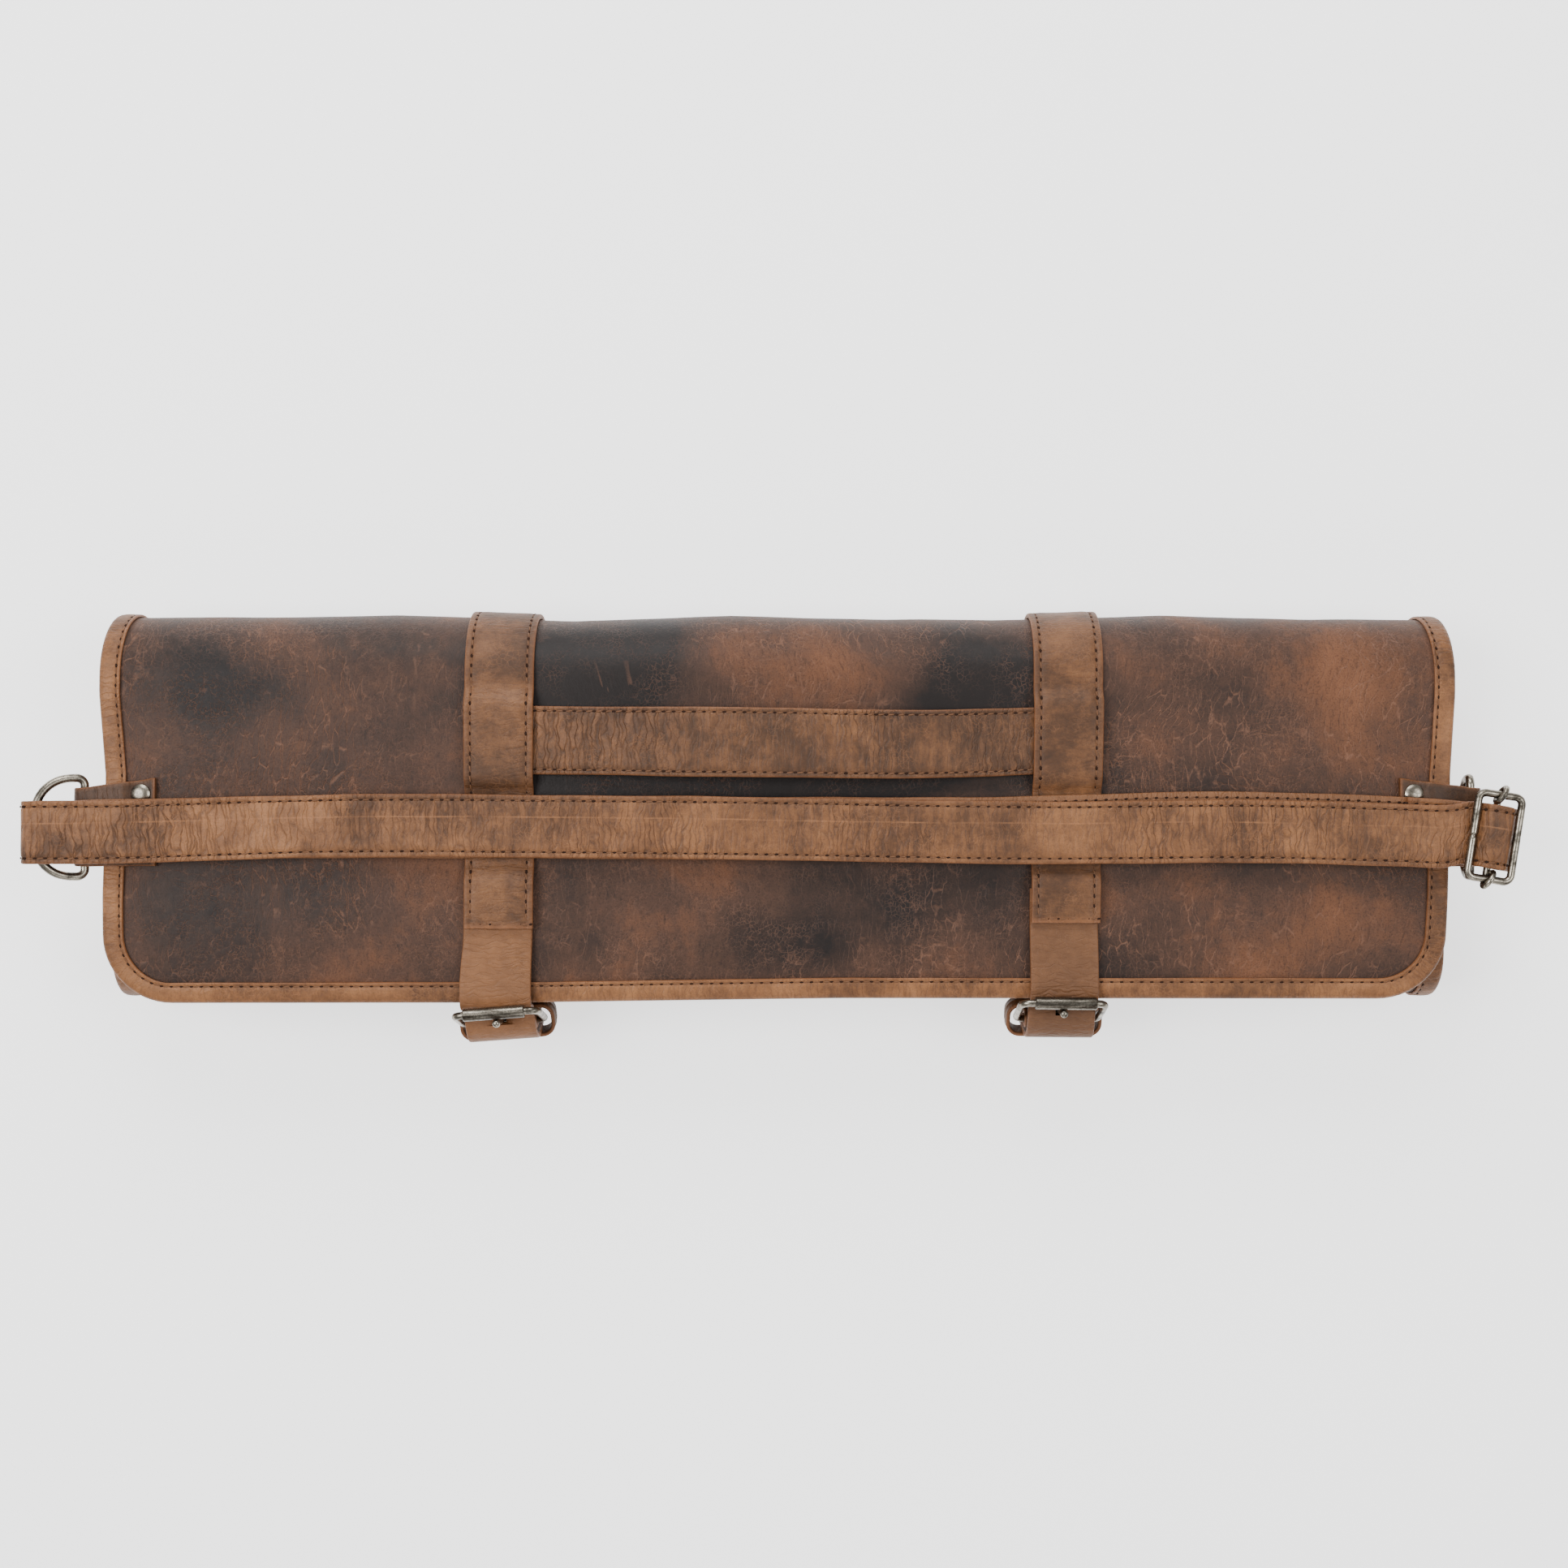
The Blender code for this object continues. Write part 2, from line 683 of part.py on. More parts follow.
def make_buckle(buckle):
    side = buckle["side"]
    roller_y, roller_z = roller_centre(buckle)
    heel_y, heel_z = heel_centre(buckle)
    along_y = (roller_y - heel_y) / BUCKLE_LENGTH
    along_z = (roller_z - heel_z) / BUCKLE_LENGTH
    middle_y = (roller_y + heel_y) / 2
    middle_z = (roller_z + heel_z) / 2
    half_wide = BUCKLE_INNER_WIDTH / 2 + BUCKLE_WIRE
    points = []
    for across, along in frame_outline(half_wide, BUCKLE_LENGTH / 2, BUCKLE_CORNER, 4):
        x = buckle["frame_x"] + across
        y = middle_y + along * along_y
        z = middle_z + along * along_z
        points.append(Vector(turned_about(buckle, x, y, z)))
    wire_object("buckle_frame_" + side, points, BUCKLE_WIRE, ANTIQUE_METAL, True)

    bore = BUCKLE_WIRE + GAP
    half = ROLLER_LENGTH / 2
    profile = ((ROLLER_RADIUS, half), (ROLLER_RADIUS, -half), (bore, -half), (bore, half))
    roller = turned_object("buckle_roller_" + side, profile, 18, ANTIQUE_METAL, True)
    roller.rotation_euler = (0.0, math.radians(90.0), math.radians(buckle["yaw"]))
    roller.location = Vector(turned_about(buckle, buckle["roller_x"], roller_y, roller_z)) * MM

    ring = BUCKLE_WIRE + GAP + PRONG_WIRE
    path = []
    for angle in range(100, 361, 26):
        turn = math.radians(angle)
        path.append((heel_y + ring * math.cos(turn), heel_z + ring * math.sin(turn)))
    tip_y = roller_y - ROLLER_RADIUS - PRONG_PLAY - PRONG_WIRE
    tip_z = roller_z + 1.2
    path.append((mix(heel_y + ring, tip_y, 0.45), heel_z + 4.0))
    path.append((tip_y, heel_z + 9.0))
    path.append((tip_y, tip_z - 3.5))
    path.append((tip_y, tip_z - 1.4))
    path.append((tip_y, tip_z - 0.4))
    path.append((tip_y, tip_z))
    points = [Vector(turned_about(buckle, buckle["frame_x"], y, z)) for y, z in path]
    swell = [1.0] * (len(points) - 3) + [1.15, 0.95, 0.5]
    wire_object("buckle_prong_" + side, points, PRONG_WIRE, ANTIQUE_METAL, False, swell)


# The handle
def make_handle():
    top = TOP_Z + PANEL_WALL / 2
    sewn = top + GAP + HANDLE_WALL / 2
    rows = (
        (-114.0, 16.3, sewn, 0.0, 25.2),
        (-91.0, 16.2, sewn, 0.0, 25.2),
        (-76.0, 16.0, sewn + 1.2, 0.0, 25.2),
        (-45.0, 15.6, sewn + 5.0, 0.0, 25.4),
        (0.0, 15.1, sewn + 6.2, 0.0, 25.4),
        (45.0, 14.6, sewn + 5.0, 0.0, 25.0),
        (77.0, 15.2, sewn + 1.2, 0.0, 24.8),
        (92.0, 15.8, sewn, 0.0, 24.6),
        (114.0, 16.2, sewn, 0.0, 24.6),
    )
    strap_object("carry_handle", smooth_rows(rows, longest=16.0), HANDLE_WALL, TRIM_LEATHER)


# Rings, tabs and rivets
def outward(side):
    return -1.0 if side == "left" else 1.0


def make_tab(side):
    """Fold the tab round the ring's bar, with one ply on each face of the panel."""
    top = TOP_Z + PANEL_WALL / 2 + GAP + TAB_WALL / 2
    over_binding = top + GAP + BINDING_WALL
    bottom = 2 * TOP_Z - top
    under_binding = 2 * TOP_Z - over_binding
    loop = RING_WIRE + GAP + TAB_WALL / 2
    path = [
        (TAB_LENGTH, top), (10.3, top), (8.7, over_binding), (4.0, over_binding), (-3.0, over_binding - 0.4),
    ]
    for angle in range(90, 271, 30):
        turn = math.radians(angle)
        path.append((-RING_BAR_OUT + loop * math.cos(turn), TOP_Z + loop * math.sin(turn)))
    path.append((-3.0, under_binding + 0.4))
    path.append((4.0, under_binding))
    path.append((8.7, under_binding))
    path.append((10.3, bottom))
    path.append((TAB_LENGTH, bottom))
    rows = []
    for inwards, z in path:
        share = min(1.0, max(0.0, (inwards + RING_BAR_OUT) / (TAB_LENGTH + RING_BAR_OUT)))
        x = TAB_EDGE_X[side] - outward(side) * inwards
        rows.append((x, mix(-15.9, -14.0, share), z, 0.0, mix(29.0, 32.4, share)))
    tab = strap_object("ring_tab_" + side, rows, TAB_WALL, TRIM_LEATHER)
    for level in RIVET_YS:
        boolean(tab, rivet_cutter(side, level), "DIFFERENCE")


def rivet_centre(side, level):
    x = TAB_EDGE_X[side] - outward(side) * RIVET_IN
    return Vector((x, RIVET_YS[level], TOP_Z))


def rivet_cutter(side, level):
    """Find or make the hidden cylinder that clears one rivet's shank."""
    name = f"rivet_hole_{side}_{level}"
    if name in bpy.data.objects:
        return bpy.data.objects[name]
    return round_cutter(name, rivet_centre(side, level), RIVET_SHANK + GAP, 9.0)


def make_rivet(side, level):
    """Turn one rivet: a domed head on the top ply and a flat cap under the bottom ply."""
    face = PANEL_WALL / 2 + GAP + TAB_WALL + GAP
    profile = (
        (0.0, face + 1.1),
        (1.8, face + 1.0),
        (2.9, face + 0.7),
        (RIVET_HEAD, face + 0.2),
        (RIVET_HEAD, face),
        (RIVET_SHANK, face),
        (RIVET_SHANK, -face),
        (RIVET_HEAD - 0.5, -face),
        (RIVET_HEAD - 0.5, -face - 0.7),
        (0.0, -face - 0.8),
    )
    rivet = turned_object(f"rivet_{side}_{level}", profile, 12, ANTIQUE_METAL, False)
    rivet.location = rivet_centre(side, level) * MM


def ring_outline():
    """List the D ring as (out from the bar, along the bar): a straight bar, small corners, a round bow."""
    outline = []
    for step in range(4):
        angle = math.radians(90.0 * step / 3)
        outline.append((
            RING_CORNER - RING_CORNER * math.cos(angle),
            RING_HALF_HEIGHT - RING_CORNER + RING_CORNER * math.sin(angle),
        ))
    bow = RING_DEPTH - RING_CORNER
    for step in range(1, 12):
        angle = math.radians(90.0 - 180.0 * step / 12)
        power = 2.0 / RING_SQUARENESS
        out = math.cos(angle) ** power
        along = math.copysign(abs(math.sin(angle)) ** power, angle)
        outline.append((RING_CORNER + bow * out, RING_HALF_HEIGHT * along))
    for step in range(4):
        angle = math.radians(90.0 * (1.0 - step / 3))
        outline.append((
            RING_CORNER - RING_CORNER * math.cos(angle),
            -RING_HALF_HEIGHT + RING_CORNER - RING_CORNER * math.sin(angle),
        ))
    return outline


def make_ring(side):
    """Hang the D ring from its tab, and give the middle of its bow."""
    bar_x = TAB_EDGE_X[side] + outward(side) * RING_BAR_OUT
    tilt = math.radians(RING_SLOPES[side])
    points = []
    for out, along in ring_outline():
        points.append(Vector((
            bar_x + outward(side) * out * math.cos(tilt), RING_Y + along, TOP_Z + out * math.sin(tilt),
        )))
    wire_object("d_ring_" + side, points, RING_WIRE, ANTIQUE_METAL, True)
    return Vector((
        bar_x + outward(side) * RING_DEPTH * math.cos(tilt), RING_Y, TOP_Z + RING_DEPTH * math.sin(tilt),
    ))


# The shoulder strap, from its end on the right ring to its end on the adjuster's bar
def make_shoulder_strap(left, right):
    loop = RING_WIRE + GAP + SHOULDER_WALL / 2
    bar_x = SLIDER_X
    bar_z = SLIDER_Z - SLIDER_EYE
    over = SLIDER_BAR_WIRE + GAP + SHOULDER_WALL / 2
    rows = []

    def add(x, y, z, yaw=0.0, width=SHOULDER_WIDTH):
        rows.append((x, y, z, yaw, width))

    def add_at_slider(x, z, width=SHOULDER_WIDTH):
        y = SLIDER_Y + (x - SLIDER_X) * math.tan(math.radians(SLIDER_YAW))
        rows.append((x, y, z, SLIDER_YAW, width))

    add(right.x - 2.6, -18.0, right.z + 13.0, -2.0)
    add(right.x - 3.4, -18.0, right.z + 8.5, -2.0)
    add(right.x - 3.8, -18.0, right.z + 4.6, -2.0)
    for angle in (180.0, 225.0, 270.0, 315.0, 360.0):
        turn = math.radians(angle)
        reach = loop + 0.25
        add(right.x - 0.2 + reach * math.cos(turn), -18.0, right.z + reach * math.sin(turn), -2.0)
    add(right.x + 2.4, -18.1, right.z + 6.6, -3.0)
    add(right.x + 2.4, -18.6, right.z + 13.0, -5.0)
    add(right.x + 4.2, -19.6, right.z + 19.0, -7.0)
    add_at_slider(SLIDER_X + 6.7, 54.0)
    add_at_slider(SLIDER_X + 8.2, 57.0)
    add_at_slider(SLIDER_X + 7.4, 59.2)
    add_at_slider(SLIDER_X + 5.3, 61.2)
    add_at_slider(SLIDER_X + 4.2, 63.2)
    add_at_slider(SLIDER_X + 2.4, 64.6)
    add_at_slider(SLIDER_X, 65.15)
    add_at_slider(SLIDER_X - 2.7, 64.4)
    add_at_slider(SLIDER_X - 4.4, 62.8)
    add_at_slider(SLIDER_X - 5.3, 61.3)
    add_at_slider(SLIDER_X - 6.9, 60.0)
    add_at_slider(SLIDER_X - 9.0, 59.75)
    add(243.0, -18.9, 59.95, -6.0)
    add(226.0, -18.6, 59.6, -3.0)
    add(212.0, -18.3, 58.2, -2.0)
    add(174.0, -17.4, 56.9, 0.0)
    add(99.0, -17.9, 56.6, 1.0)
    add(-16.0, -16.2, 56.6, 0.0)
    add(-79.0, -15.6, 56.6, 0.0)
    add(-171.0, -15.4, 56.7, 1.5)
    add(-218.0, -16.8, 57.2, 3.0)
    add(-240.0, -17.5, 57.7, 3.0)
    add(-256.0, -17.7, 58.3, 1.0)
    add(-267.0, -17.7, 59.0, 0.0)

    plane = math.atan2(left.z - TOP_Z, left.x - (TAB_EDGE_X["left"] - RING_BAR_OUT))
    for swing in (90.0, 45.0, 0.0, -45.0, -90.0):
        turn = plane - math.radians(swing)
        add(left.x + loop * math.cos(turn), -17.7, left.z + loop * math.sin(turn))
    add(-271.4, -17.7, 51.9)
    add(-268.3, -17.7, 51.5)
    add(-264.8, -17.6, 52.4)
    add(-261.2, -17.5, 54.0)
    add(-256.0, -17.3, 54.9)
    add(-240.0, -17.0, 54.9, 2.0)
    add(-218.0, -16.6, 54.3, 2.0)
    add(-171.0, -15.8, 53.9, 1.0)
    add(-79.0, -15.9, 53.9, 0.0)
    add(-16.0, -16.3, 53.9, 0.0)
    add(99.0, -15.8, 53.9, 0.0)
    add(150.0, -14.3, 53.9, 0.0)
    add(200.0, -15.1, 54.2, -1.5)
    add(226.0, -16.2, 54.8, -4.0)
    add(243.0, -17.3, 54.9, -7.0)
    add_at_slider(SLIDER_X - 7.4, 55.0)
    add_at_slider(SLIDER_X - 4.6, 55.6)
    add_at_slider(SLIDER_X - 2.2, bar_z - over - 0.35, 22.6)
    for angle in (270.0, 315.0, 360.0, 405.0, 450.0, 490.0):
        turn = math.radians(angle)
        add_at_slider(bar_x + over * math.cos(turn), bar_z + over * math.sin(turn), 22.4)
    add_at_slider(SLIDER_X - 3.0, 60.0, 22.6)
    add_at_slider(SLIDER_X - 4.9, 58.2)
    add_at_slider(SLIDER_X - 7.8, 57.4)
    add(242.0, -17.4, 57.4, -7.0)
    add(227.0, -16.4, 57.3, -4.0)
    strap_object("shoulder_strap", smooth_rows(rows), SHOULDER_WALL, TRIM_LEATHER)


# The adjuster: a plain wire frame, and a bar whose eyes ride on the frame's short sides
def slider_matrix():
    turn = Matrix.Rotation(math.radians(SLIDER_YAW), 4, "Z")
    return Matrix.Translation(Vector((SLIDER_X, SLIDER_Y, SLIDER_Z)) * MM) @ turn


def make_slider():
    points = []
    for across, along in frame_outline(SLIDER_HALF_WIDE, SLIDER_HALF_LONG, SLIDER_CORNER, 3):
        points.append(Vector((across, along, 0.0)))
    frame = wire_object("slider_frame", points, SLIDER_WIRE, ANTIQUE_METAL, True)
    frame.matrix_local = slider_matrix()

    ends = (Vector((0.0, -SLIDER_HALF_LONG, -SLIDER_EYE)), Vector((0.0, SLIDER_HALF_LONG, -SLIDER_EYE)))
    bar = wire_mesh("slider_bar", ends, SLIDER_BAR_WIRE, False)
    place(bar, ANTIQUE_METAL)
    bar.matrix_local = slider_matrix()
    for index, sign in enumerate((-1.0, 1.0)):
        bpy.ops.mesh.primitive_torus_add(
            major_segments=14, minor_segments=6,
            major_radius=SLIDER_EYE * MM, minor_radius=SLIDER_EYE_WIRE * MM,
        )
        eye = bpy.context.object
        eye.data.transform(Matrix.Rotation(math.radians(90.0), 4, "Y"))
        eye.data.transform(Matrix.Translation(Vector((0.0, sign * SLIDER_HALF_LONG, 0.0)) * MM))
        eye.name = f"slider_eye_{index}"
        for group in list(eye.users_collection):
            group.objects.unlink(eye)
        CUTTERS.objects.link(eye)
        eye.parent = ROLL_ORIGIN
        eye.matrix_local = slider_matrix()
        eye.hide_render = True
        eye.display_type = "WIRE"
        boolean(bar, eye, "UNION")


# Looks, as colour, roughness and metallic
PANEL_LEATHER = ((0.105, 0.055, 0.033), 0.62, 0.0)
TRIM_LEATHER = ((0.27, 0.125, 0.058), 0.6, 0.0)
ANTIQUE_METAL = ((0.36, 0.33, 0.28), 0.35, 1.0)

reset_scene()
PIECES = collection("chef_knife_roll")
CUTTERS = collection("cutters")
ROLL_ORIGIN = bpy.data.objects.new("roll_origin", None)
ROLL_ORIGIN.location = (SHIFT_X * MM, SHIFT_Y * MM, 0.0)
PIECES.objects.link(ROLL_ORIGIN)

make_panel()
make_binding()
for buckle_row in BUCKLE_ROWS:
    buckle_values = dict(zip(BUCKLE_COLUMNS, buckle_row))
    make_closing_strap(buckle_values)
    make_billet(buckle_values)
    make_chape(buckle_values)
    make_keeper(buckle_values)
    make_buckle(buckle_values)
make_handle()
for end_side in ("left", "right"):
    make_tab(end_side)
    for rivet_level in RIVET_YS:
        make_rivet(end_side, rivet_level)
make_shoulder_strap(make_ring("left"), make_ring("right"))
make_slider()
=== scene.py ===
"""Leather knife roll, rolled up and buckled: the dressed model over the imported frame.

The roll's own lengths are millimetres about the point under the viewer, as in the source of the solids.
The function world() turns them into metres in the frame's axes.
"""
import math

import bmesh
import bpy
from mathutils import Matrix, Vector, noise

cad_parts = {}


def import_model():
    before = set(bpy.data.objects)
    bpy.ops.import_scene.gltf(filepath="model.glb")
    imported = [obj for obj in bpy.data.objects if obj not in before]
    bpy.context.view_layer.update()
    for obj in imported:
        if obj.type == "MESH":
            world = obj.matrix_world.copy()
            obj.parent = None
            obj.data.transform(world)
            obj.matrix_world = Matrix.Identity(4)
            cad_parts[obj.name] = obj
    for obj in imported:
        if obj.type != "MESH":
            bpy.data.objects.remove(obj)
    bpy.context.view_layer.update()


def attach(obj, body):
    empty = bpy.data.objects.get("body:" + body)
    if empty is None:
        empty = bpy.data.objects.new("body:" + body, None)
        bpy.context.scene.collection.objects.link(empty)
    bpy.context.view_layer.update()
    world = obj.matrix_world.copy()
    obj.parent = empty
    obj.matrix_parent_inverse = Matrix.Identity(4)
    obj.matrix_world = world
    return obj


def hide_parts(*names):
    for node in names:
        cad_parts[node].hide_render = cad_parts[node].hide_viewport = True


bl_info = {
    "name": "Leather Knife Roll",
    "version": (1, 0, 0),
    "blender": (4, 5, 0),
    "location": "View3D > Sidebar > Knife Roll",
    "description": "Dresses a rolled leather knife roll with stitched straps, buckles and an adjuster",
    "category": "Add Mesh",
}

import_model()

MM = 0.001
GAP = 0.3
SHIFT = Vector((4.95, 16.25, 0.0))

# Leather thicknesses
PANEL_WALL = 2.6
BINDING_WALL = 1.0
STRAP_WALL = 2.0
BILLET_WALL = 2.2
CHAPE_WALL = 1.8
TAB_WALL = 1.8
HANDLE_WALL = 2.6
SHOULDER_WALL = 2.2
KEEPER_WALL = 1.5

# Wire radii
RING_WIRE = 1.55
BUCKLE_WIRE = 1.35
PRONG_WIRE = 1.25
SLIDER_WIRE = 1.4
SLIDER_BAR_WIRE = 1.3

# The panel, rolled from the flap's edge inwards
TOP_Z = 48.7
FLAP_START_Y = -78.3
FLAP_START_Z = 46.3
FLAP_START_RISE = 9.2
CORNER_RADIUS = 25.0
EDGE_INSET = GAP + BINDING_WALL
BINDING_SEAM = -5.35
PUCKER_X = 205.0
PUCKER_SPREAD = 42.0
PUCKER_REACH = 40.0

# Each row is a stretch of the rolled panel: its name, its length, and its turn inwards in degrees
ROLL_ROWS = (
    ("flap_droop", 30.0, FLAP_START_RISE),
    ("flap", 88.0, 0.0),
    ("top_fold", 70.8, 180.0),
    ("back", 59.5, 0.0),
    ("back_rise", 10.0, 12.0),
    ("back_level", 10.0, -12.0),
    ("back_end", 23.0, 0.0),
    ("front_fold", 49.0, 177.5),
    ("second_layer", 101.5, 0.0),
    ("inner_fold", 44.6, 182.5),
    ("third_layer", 98.0, 0.0),
    ("core_fold", 26.7, 182.0),
    ("last_layer", 78.0, 0.0),
)
ROLL_LENGTH = sum(row[1] for row in ROLL_ROWS)
BACK_START = sum(row[1] for row in ROLL_ROWS[:3])

# Each row is a distance from the flap's edge, and the x of both sides there, binding included
SIDE_ROWS = (
    (0.0, -251.8, 243.8),
    (38.0, -252.0, 245.5),
    (66.0, -251.0, 246.0),
    (82.0, -250.8, 246.3),
    (112.0, -253.2, 248.2),
    (160.0, -252.6, 248.0),
    (691.0, -252.2, 247.8),
)
FLAP_EDGE_ROWS = ((-252.0, -1.7), (-100.0, -1.5), (20.0, 0.2), (250.0, 0.0))
TOP_WAVE_ROWS = (
    (-200.0, 0.0), (-146.0, 1.2), (-80.0, -1.4), (-20.0, 0.9),
    (40.0, -0.6), (80.0, -0.9), (145.0, 0.7), (200.0, -0.8),
)
TOP_FOLD_MIDDLE = 153.4
TOP_WAVE_REACH = 45.0
FLAP_SHIFT_REACH = 60.0
DROOP_EXTRA = 0.25
RISE_EXTRA = 0.15

# Each row is one side's closing strap and buckle
BUCKLE_COLUMNS = (
    "side", "strap_x", "strap_drift", "frame_x", "roller_x", "billet_x", "billet_width",
    "edge_y", "lean", "heel_out", "yaw", "sewn_end_y",
)
BUCKLE_ROWS = (
    ("left", -105.0, 0.0, -106.0, -106.7, -106.4, 26.2, -81.2, 52.0, 5.6, 4.2, -53.0),
    ("right", 105.4, -2.3, 102.8, 103.5, 103.4, 25.2, -79.6, 70.0, 8.0, -0.5, -51.0),
)
CLOSING_STRAP_WIDTH = 25.5
BUCKLE_LENGTH = 21.5
BUCKLE_INNER_WIDTH = 28.0
BUCKLE_CORNER = 3.2
ROLLER_RADIUS = 2.35
ROLLER_LENGTH = 22.6
BILLET_BEND = 3.4
BILLET_BEND_IN = 1.7
BILLET_BEND_Z = 47.9
ROLLER_PLAY = 0.45
KEEPER_WIDTH = 36.4
KEEPER_DEPTH = 13.4
KEEPER_BAND = 8.5
KEEPER_CORNER = 4.5
KEEPER_TILT = 16.0
KEEPER_BELOW_HEEL = 9.6
PRONG_PLAY = 0.25

# Rings, tabs and rivets at both ends
RING_HALF_HEIGHT = 18.2
RING_DEPTH = 18.0
RING_CORNER = 2.8
RING_SQUARENESS = 2.4
RING_Y = -16.0
RING_BAR_OUT = 8.0
TAB_EDGE_X = {"left": -250.8, "right": 246.0}
TAB_LENGTH = 19.0
RIVET_IN = 13.9
RIVET_YS = {"upper": -3.6, "lower": -24.0}
RIVET_HEAD = 3.5
RIVET_SHANK = 1.5
RING_SLOPES = {"left": 26.6, "right": -80.0}

# The adjuster lies over the right tab
SLIDER_X = 257.8
SLIDER_Y = -19.3
SLIDER_Z = 62.8
SLIDER_YAW = -9.0
SLIDER_HALF_LONG = 15.5
SLIDER_HALF_WIDE = 7.9
SLIDER_CORNER = 2.6
SLIDER_EYE = 2.75
SLIDER_EYE_WIRE = 1.05
SLIDER_EYE_SLEW = 28.0
SLIDER_WELD_Y = -0.6
SHOULDER_WIDTH = 23.0
SHOULDER_PRESSED_LINE = 9.1

# Darker and lighter clouds in the waxed hide, and a painted shadow just below the handle: x, y on the top of
# the roll, reach across, reach up, strength
PANEL_CLOUDS = (
    (-212.0, 38.0, 34.0, 22.0, -0.85),
    (-205.0, -42.0, 40.0, 20.0, -0.75),
    (-155.0, 52.0, 26.0, 14.0, -0.55),
    (-150.0, 8.0, 30.0, 24.0, 0.1),
    (-72.0, 42.0, 34.0, 24.0, -2.4),
    # These two rows darken a strip just below the handle's lower edge: a painted shadow of the handle
    (0.0, 1.0, 95.0, 7.0, -2.2),
    (-80.0, -2.0, 20.0, 8.0, -1.1),
    (-12.0, 46.0, 22.0, 14.0, 0.9),
    (26.0, 40.0, 22.0, 18.0, 0.15),
    (74.0, 36.0, 28.0, 26.0, -1.5),
    (70.0, -35.0, 34.0, 18.0, -0.8),
    (-75.0, -62.0, 20.0, 12.0, -0.5),
    (-60.0, -50.0, 30.0, 20.0, 0.3),
    (20.0, -55.0, 46.0, 16.0, -0.5),
    (146.0, 28.0, 22.0, 26.0, -0.35),
    (195.0, 36.0, 38.0, 20.0, 0.6),
    (185.0, -50.0, 40.0, 18.0, 0.35),
    (140.0, -45.0, 22.0, 16.0, 0.15),
    (232.0, -30.0, 22.0, 20.0, -0.35),
    (-130.0, -50.0, 26.0, 20.0, 0.25),
)

# The hide lies still under the closing straps, the handle and the tabs at the ends
CALM_STRAP_XS = (-105.0, 104.0)
CALM_HANDLE_X = 120.0
CALM_HANDLE_DISTANCE = 94.0
CALM_END_X = 251.0
PANEL_COLUMNS = 110
PANEL_UNDER_COLUMNS = 26
# A fold gets a section for each of these degrees, and a turned metal piece this many round its axis
FOLD_STEP = 7.0
SPIN_STEPS = 28
STITCH_GROOVE = 0.28
SEAM_DEPTH = 0.2
SEAM_DEPTH_UNDER = 0.02
# Each side's leather has its own tone and darkness
CLOSING_TONES = {"left": (1.0, 0.02), "right": (0.95, 0.05)}
BILLET_TONES = {"left": (1.36, -0.02), "right": (1.0, 0.05)}
# Slots are half their width and their reach, in metres; steps and widths are in millimetres
BILLET_SLOT = (1.75 * MM, 2.0 * MM)
CHAPE_SLOT = (2.0 * MM, 4.6 * MM)
CHAPE_WIDTH = CLOSING_STRAP_WIDTH - 1.0
CHAPE_LOOP = BUCKLE_WIRE + GAP + CHAPE_WALL / 2
# Each row of the prong's tip is how far it lies before the end, and its share of the wire's radius
PRONG_TIP = ((2.6, 1.0), (2.0, 1.18), (1.4, 1.22), (0.8, 1.15), (0.4, 0.95), (0.12, 0.6), (0.0, 0.2))
KEEPER_STEP = 2.0
SLIDER_STEP = 0.45
# The rivet's crown rises from the tab's face, and its burr drops from the other face, as (radius, height)
RIVET_CROWN = (
    (0.0, 1.15), (0.9, 1.12), (1.8, 1.0), (2.6, 0.78), (3.1, 0.52), (RIVET_HEAD - 0.06, 0.28),
    (RIVET_HEAD, 0.1), (RIVET_HEAD - 0.15, -0.05), (RIVET_SHANK, -0.05),
)
RIVET_BURR = (
    (RIVET_SHANK, 0.0), (RIVET_HEAD - 0.5, 0.0), (RIVET_HEAD - 0.5, 0.5),
    (RIVET_HEAD - 0.9, 0.75), (0.0, 0.8),
)
CAMERA_LENS = 43.5
CAMERA_SENSOR = 36.0
FLOOR_SIZE = 6.0
FLOOR_DROP = 0.0003


# Sizes and colours that a user may change
class KnifeRollSizes(bpy.types.PropertyGroup):
    stitch_pitch: bpy.props.FloatProperty(
        name="Stitch pitch", description="Distance from one stitch to the next",
        default=0.0037, min=0.002, max=0.01, unit="LENGTH",
    )
    stitch_length: bpy.props.FloatProperty(
        name="Stitch length", description="Length of the thread that shows between two holes",
        default=0.0025, min=0.001, max=0.008, unit="LENGTH",
    )
    thread_width: bpy.props.FloatProperty(
        name="Thread width", description="Width of the waxed thread",
        default=0.00062, min=0.0002, max=0.002, unit="LENGTH",
    )
    strap_step: bpy.props.FloatProperty(
        name="Strap step", description="Distance between two sections of a strap",
        default=0.0024, min=0.001, max=0.02, unit="LENGTH",
    )
    panel_step: bpy.props.FloatProperty(
        name="Panel step", description="Distance between two rows of the panel",
        default=0.0042, min=0.002, max=0.03, unit="LENGTH",
    )


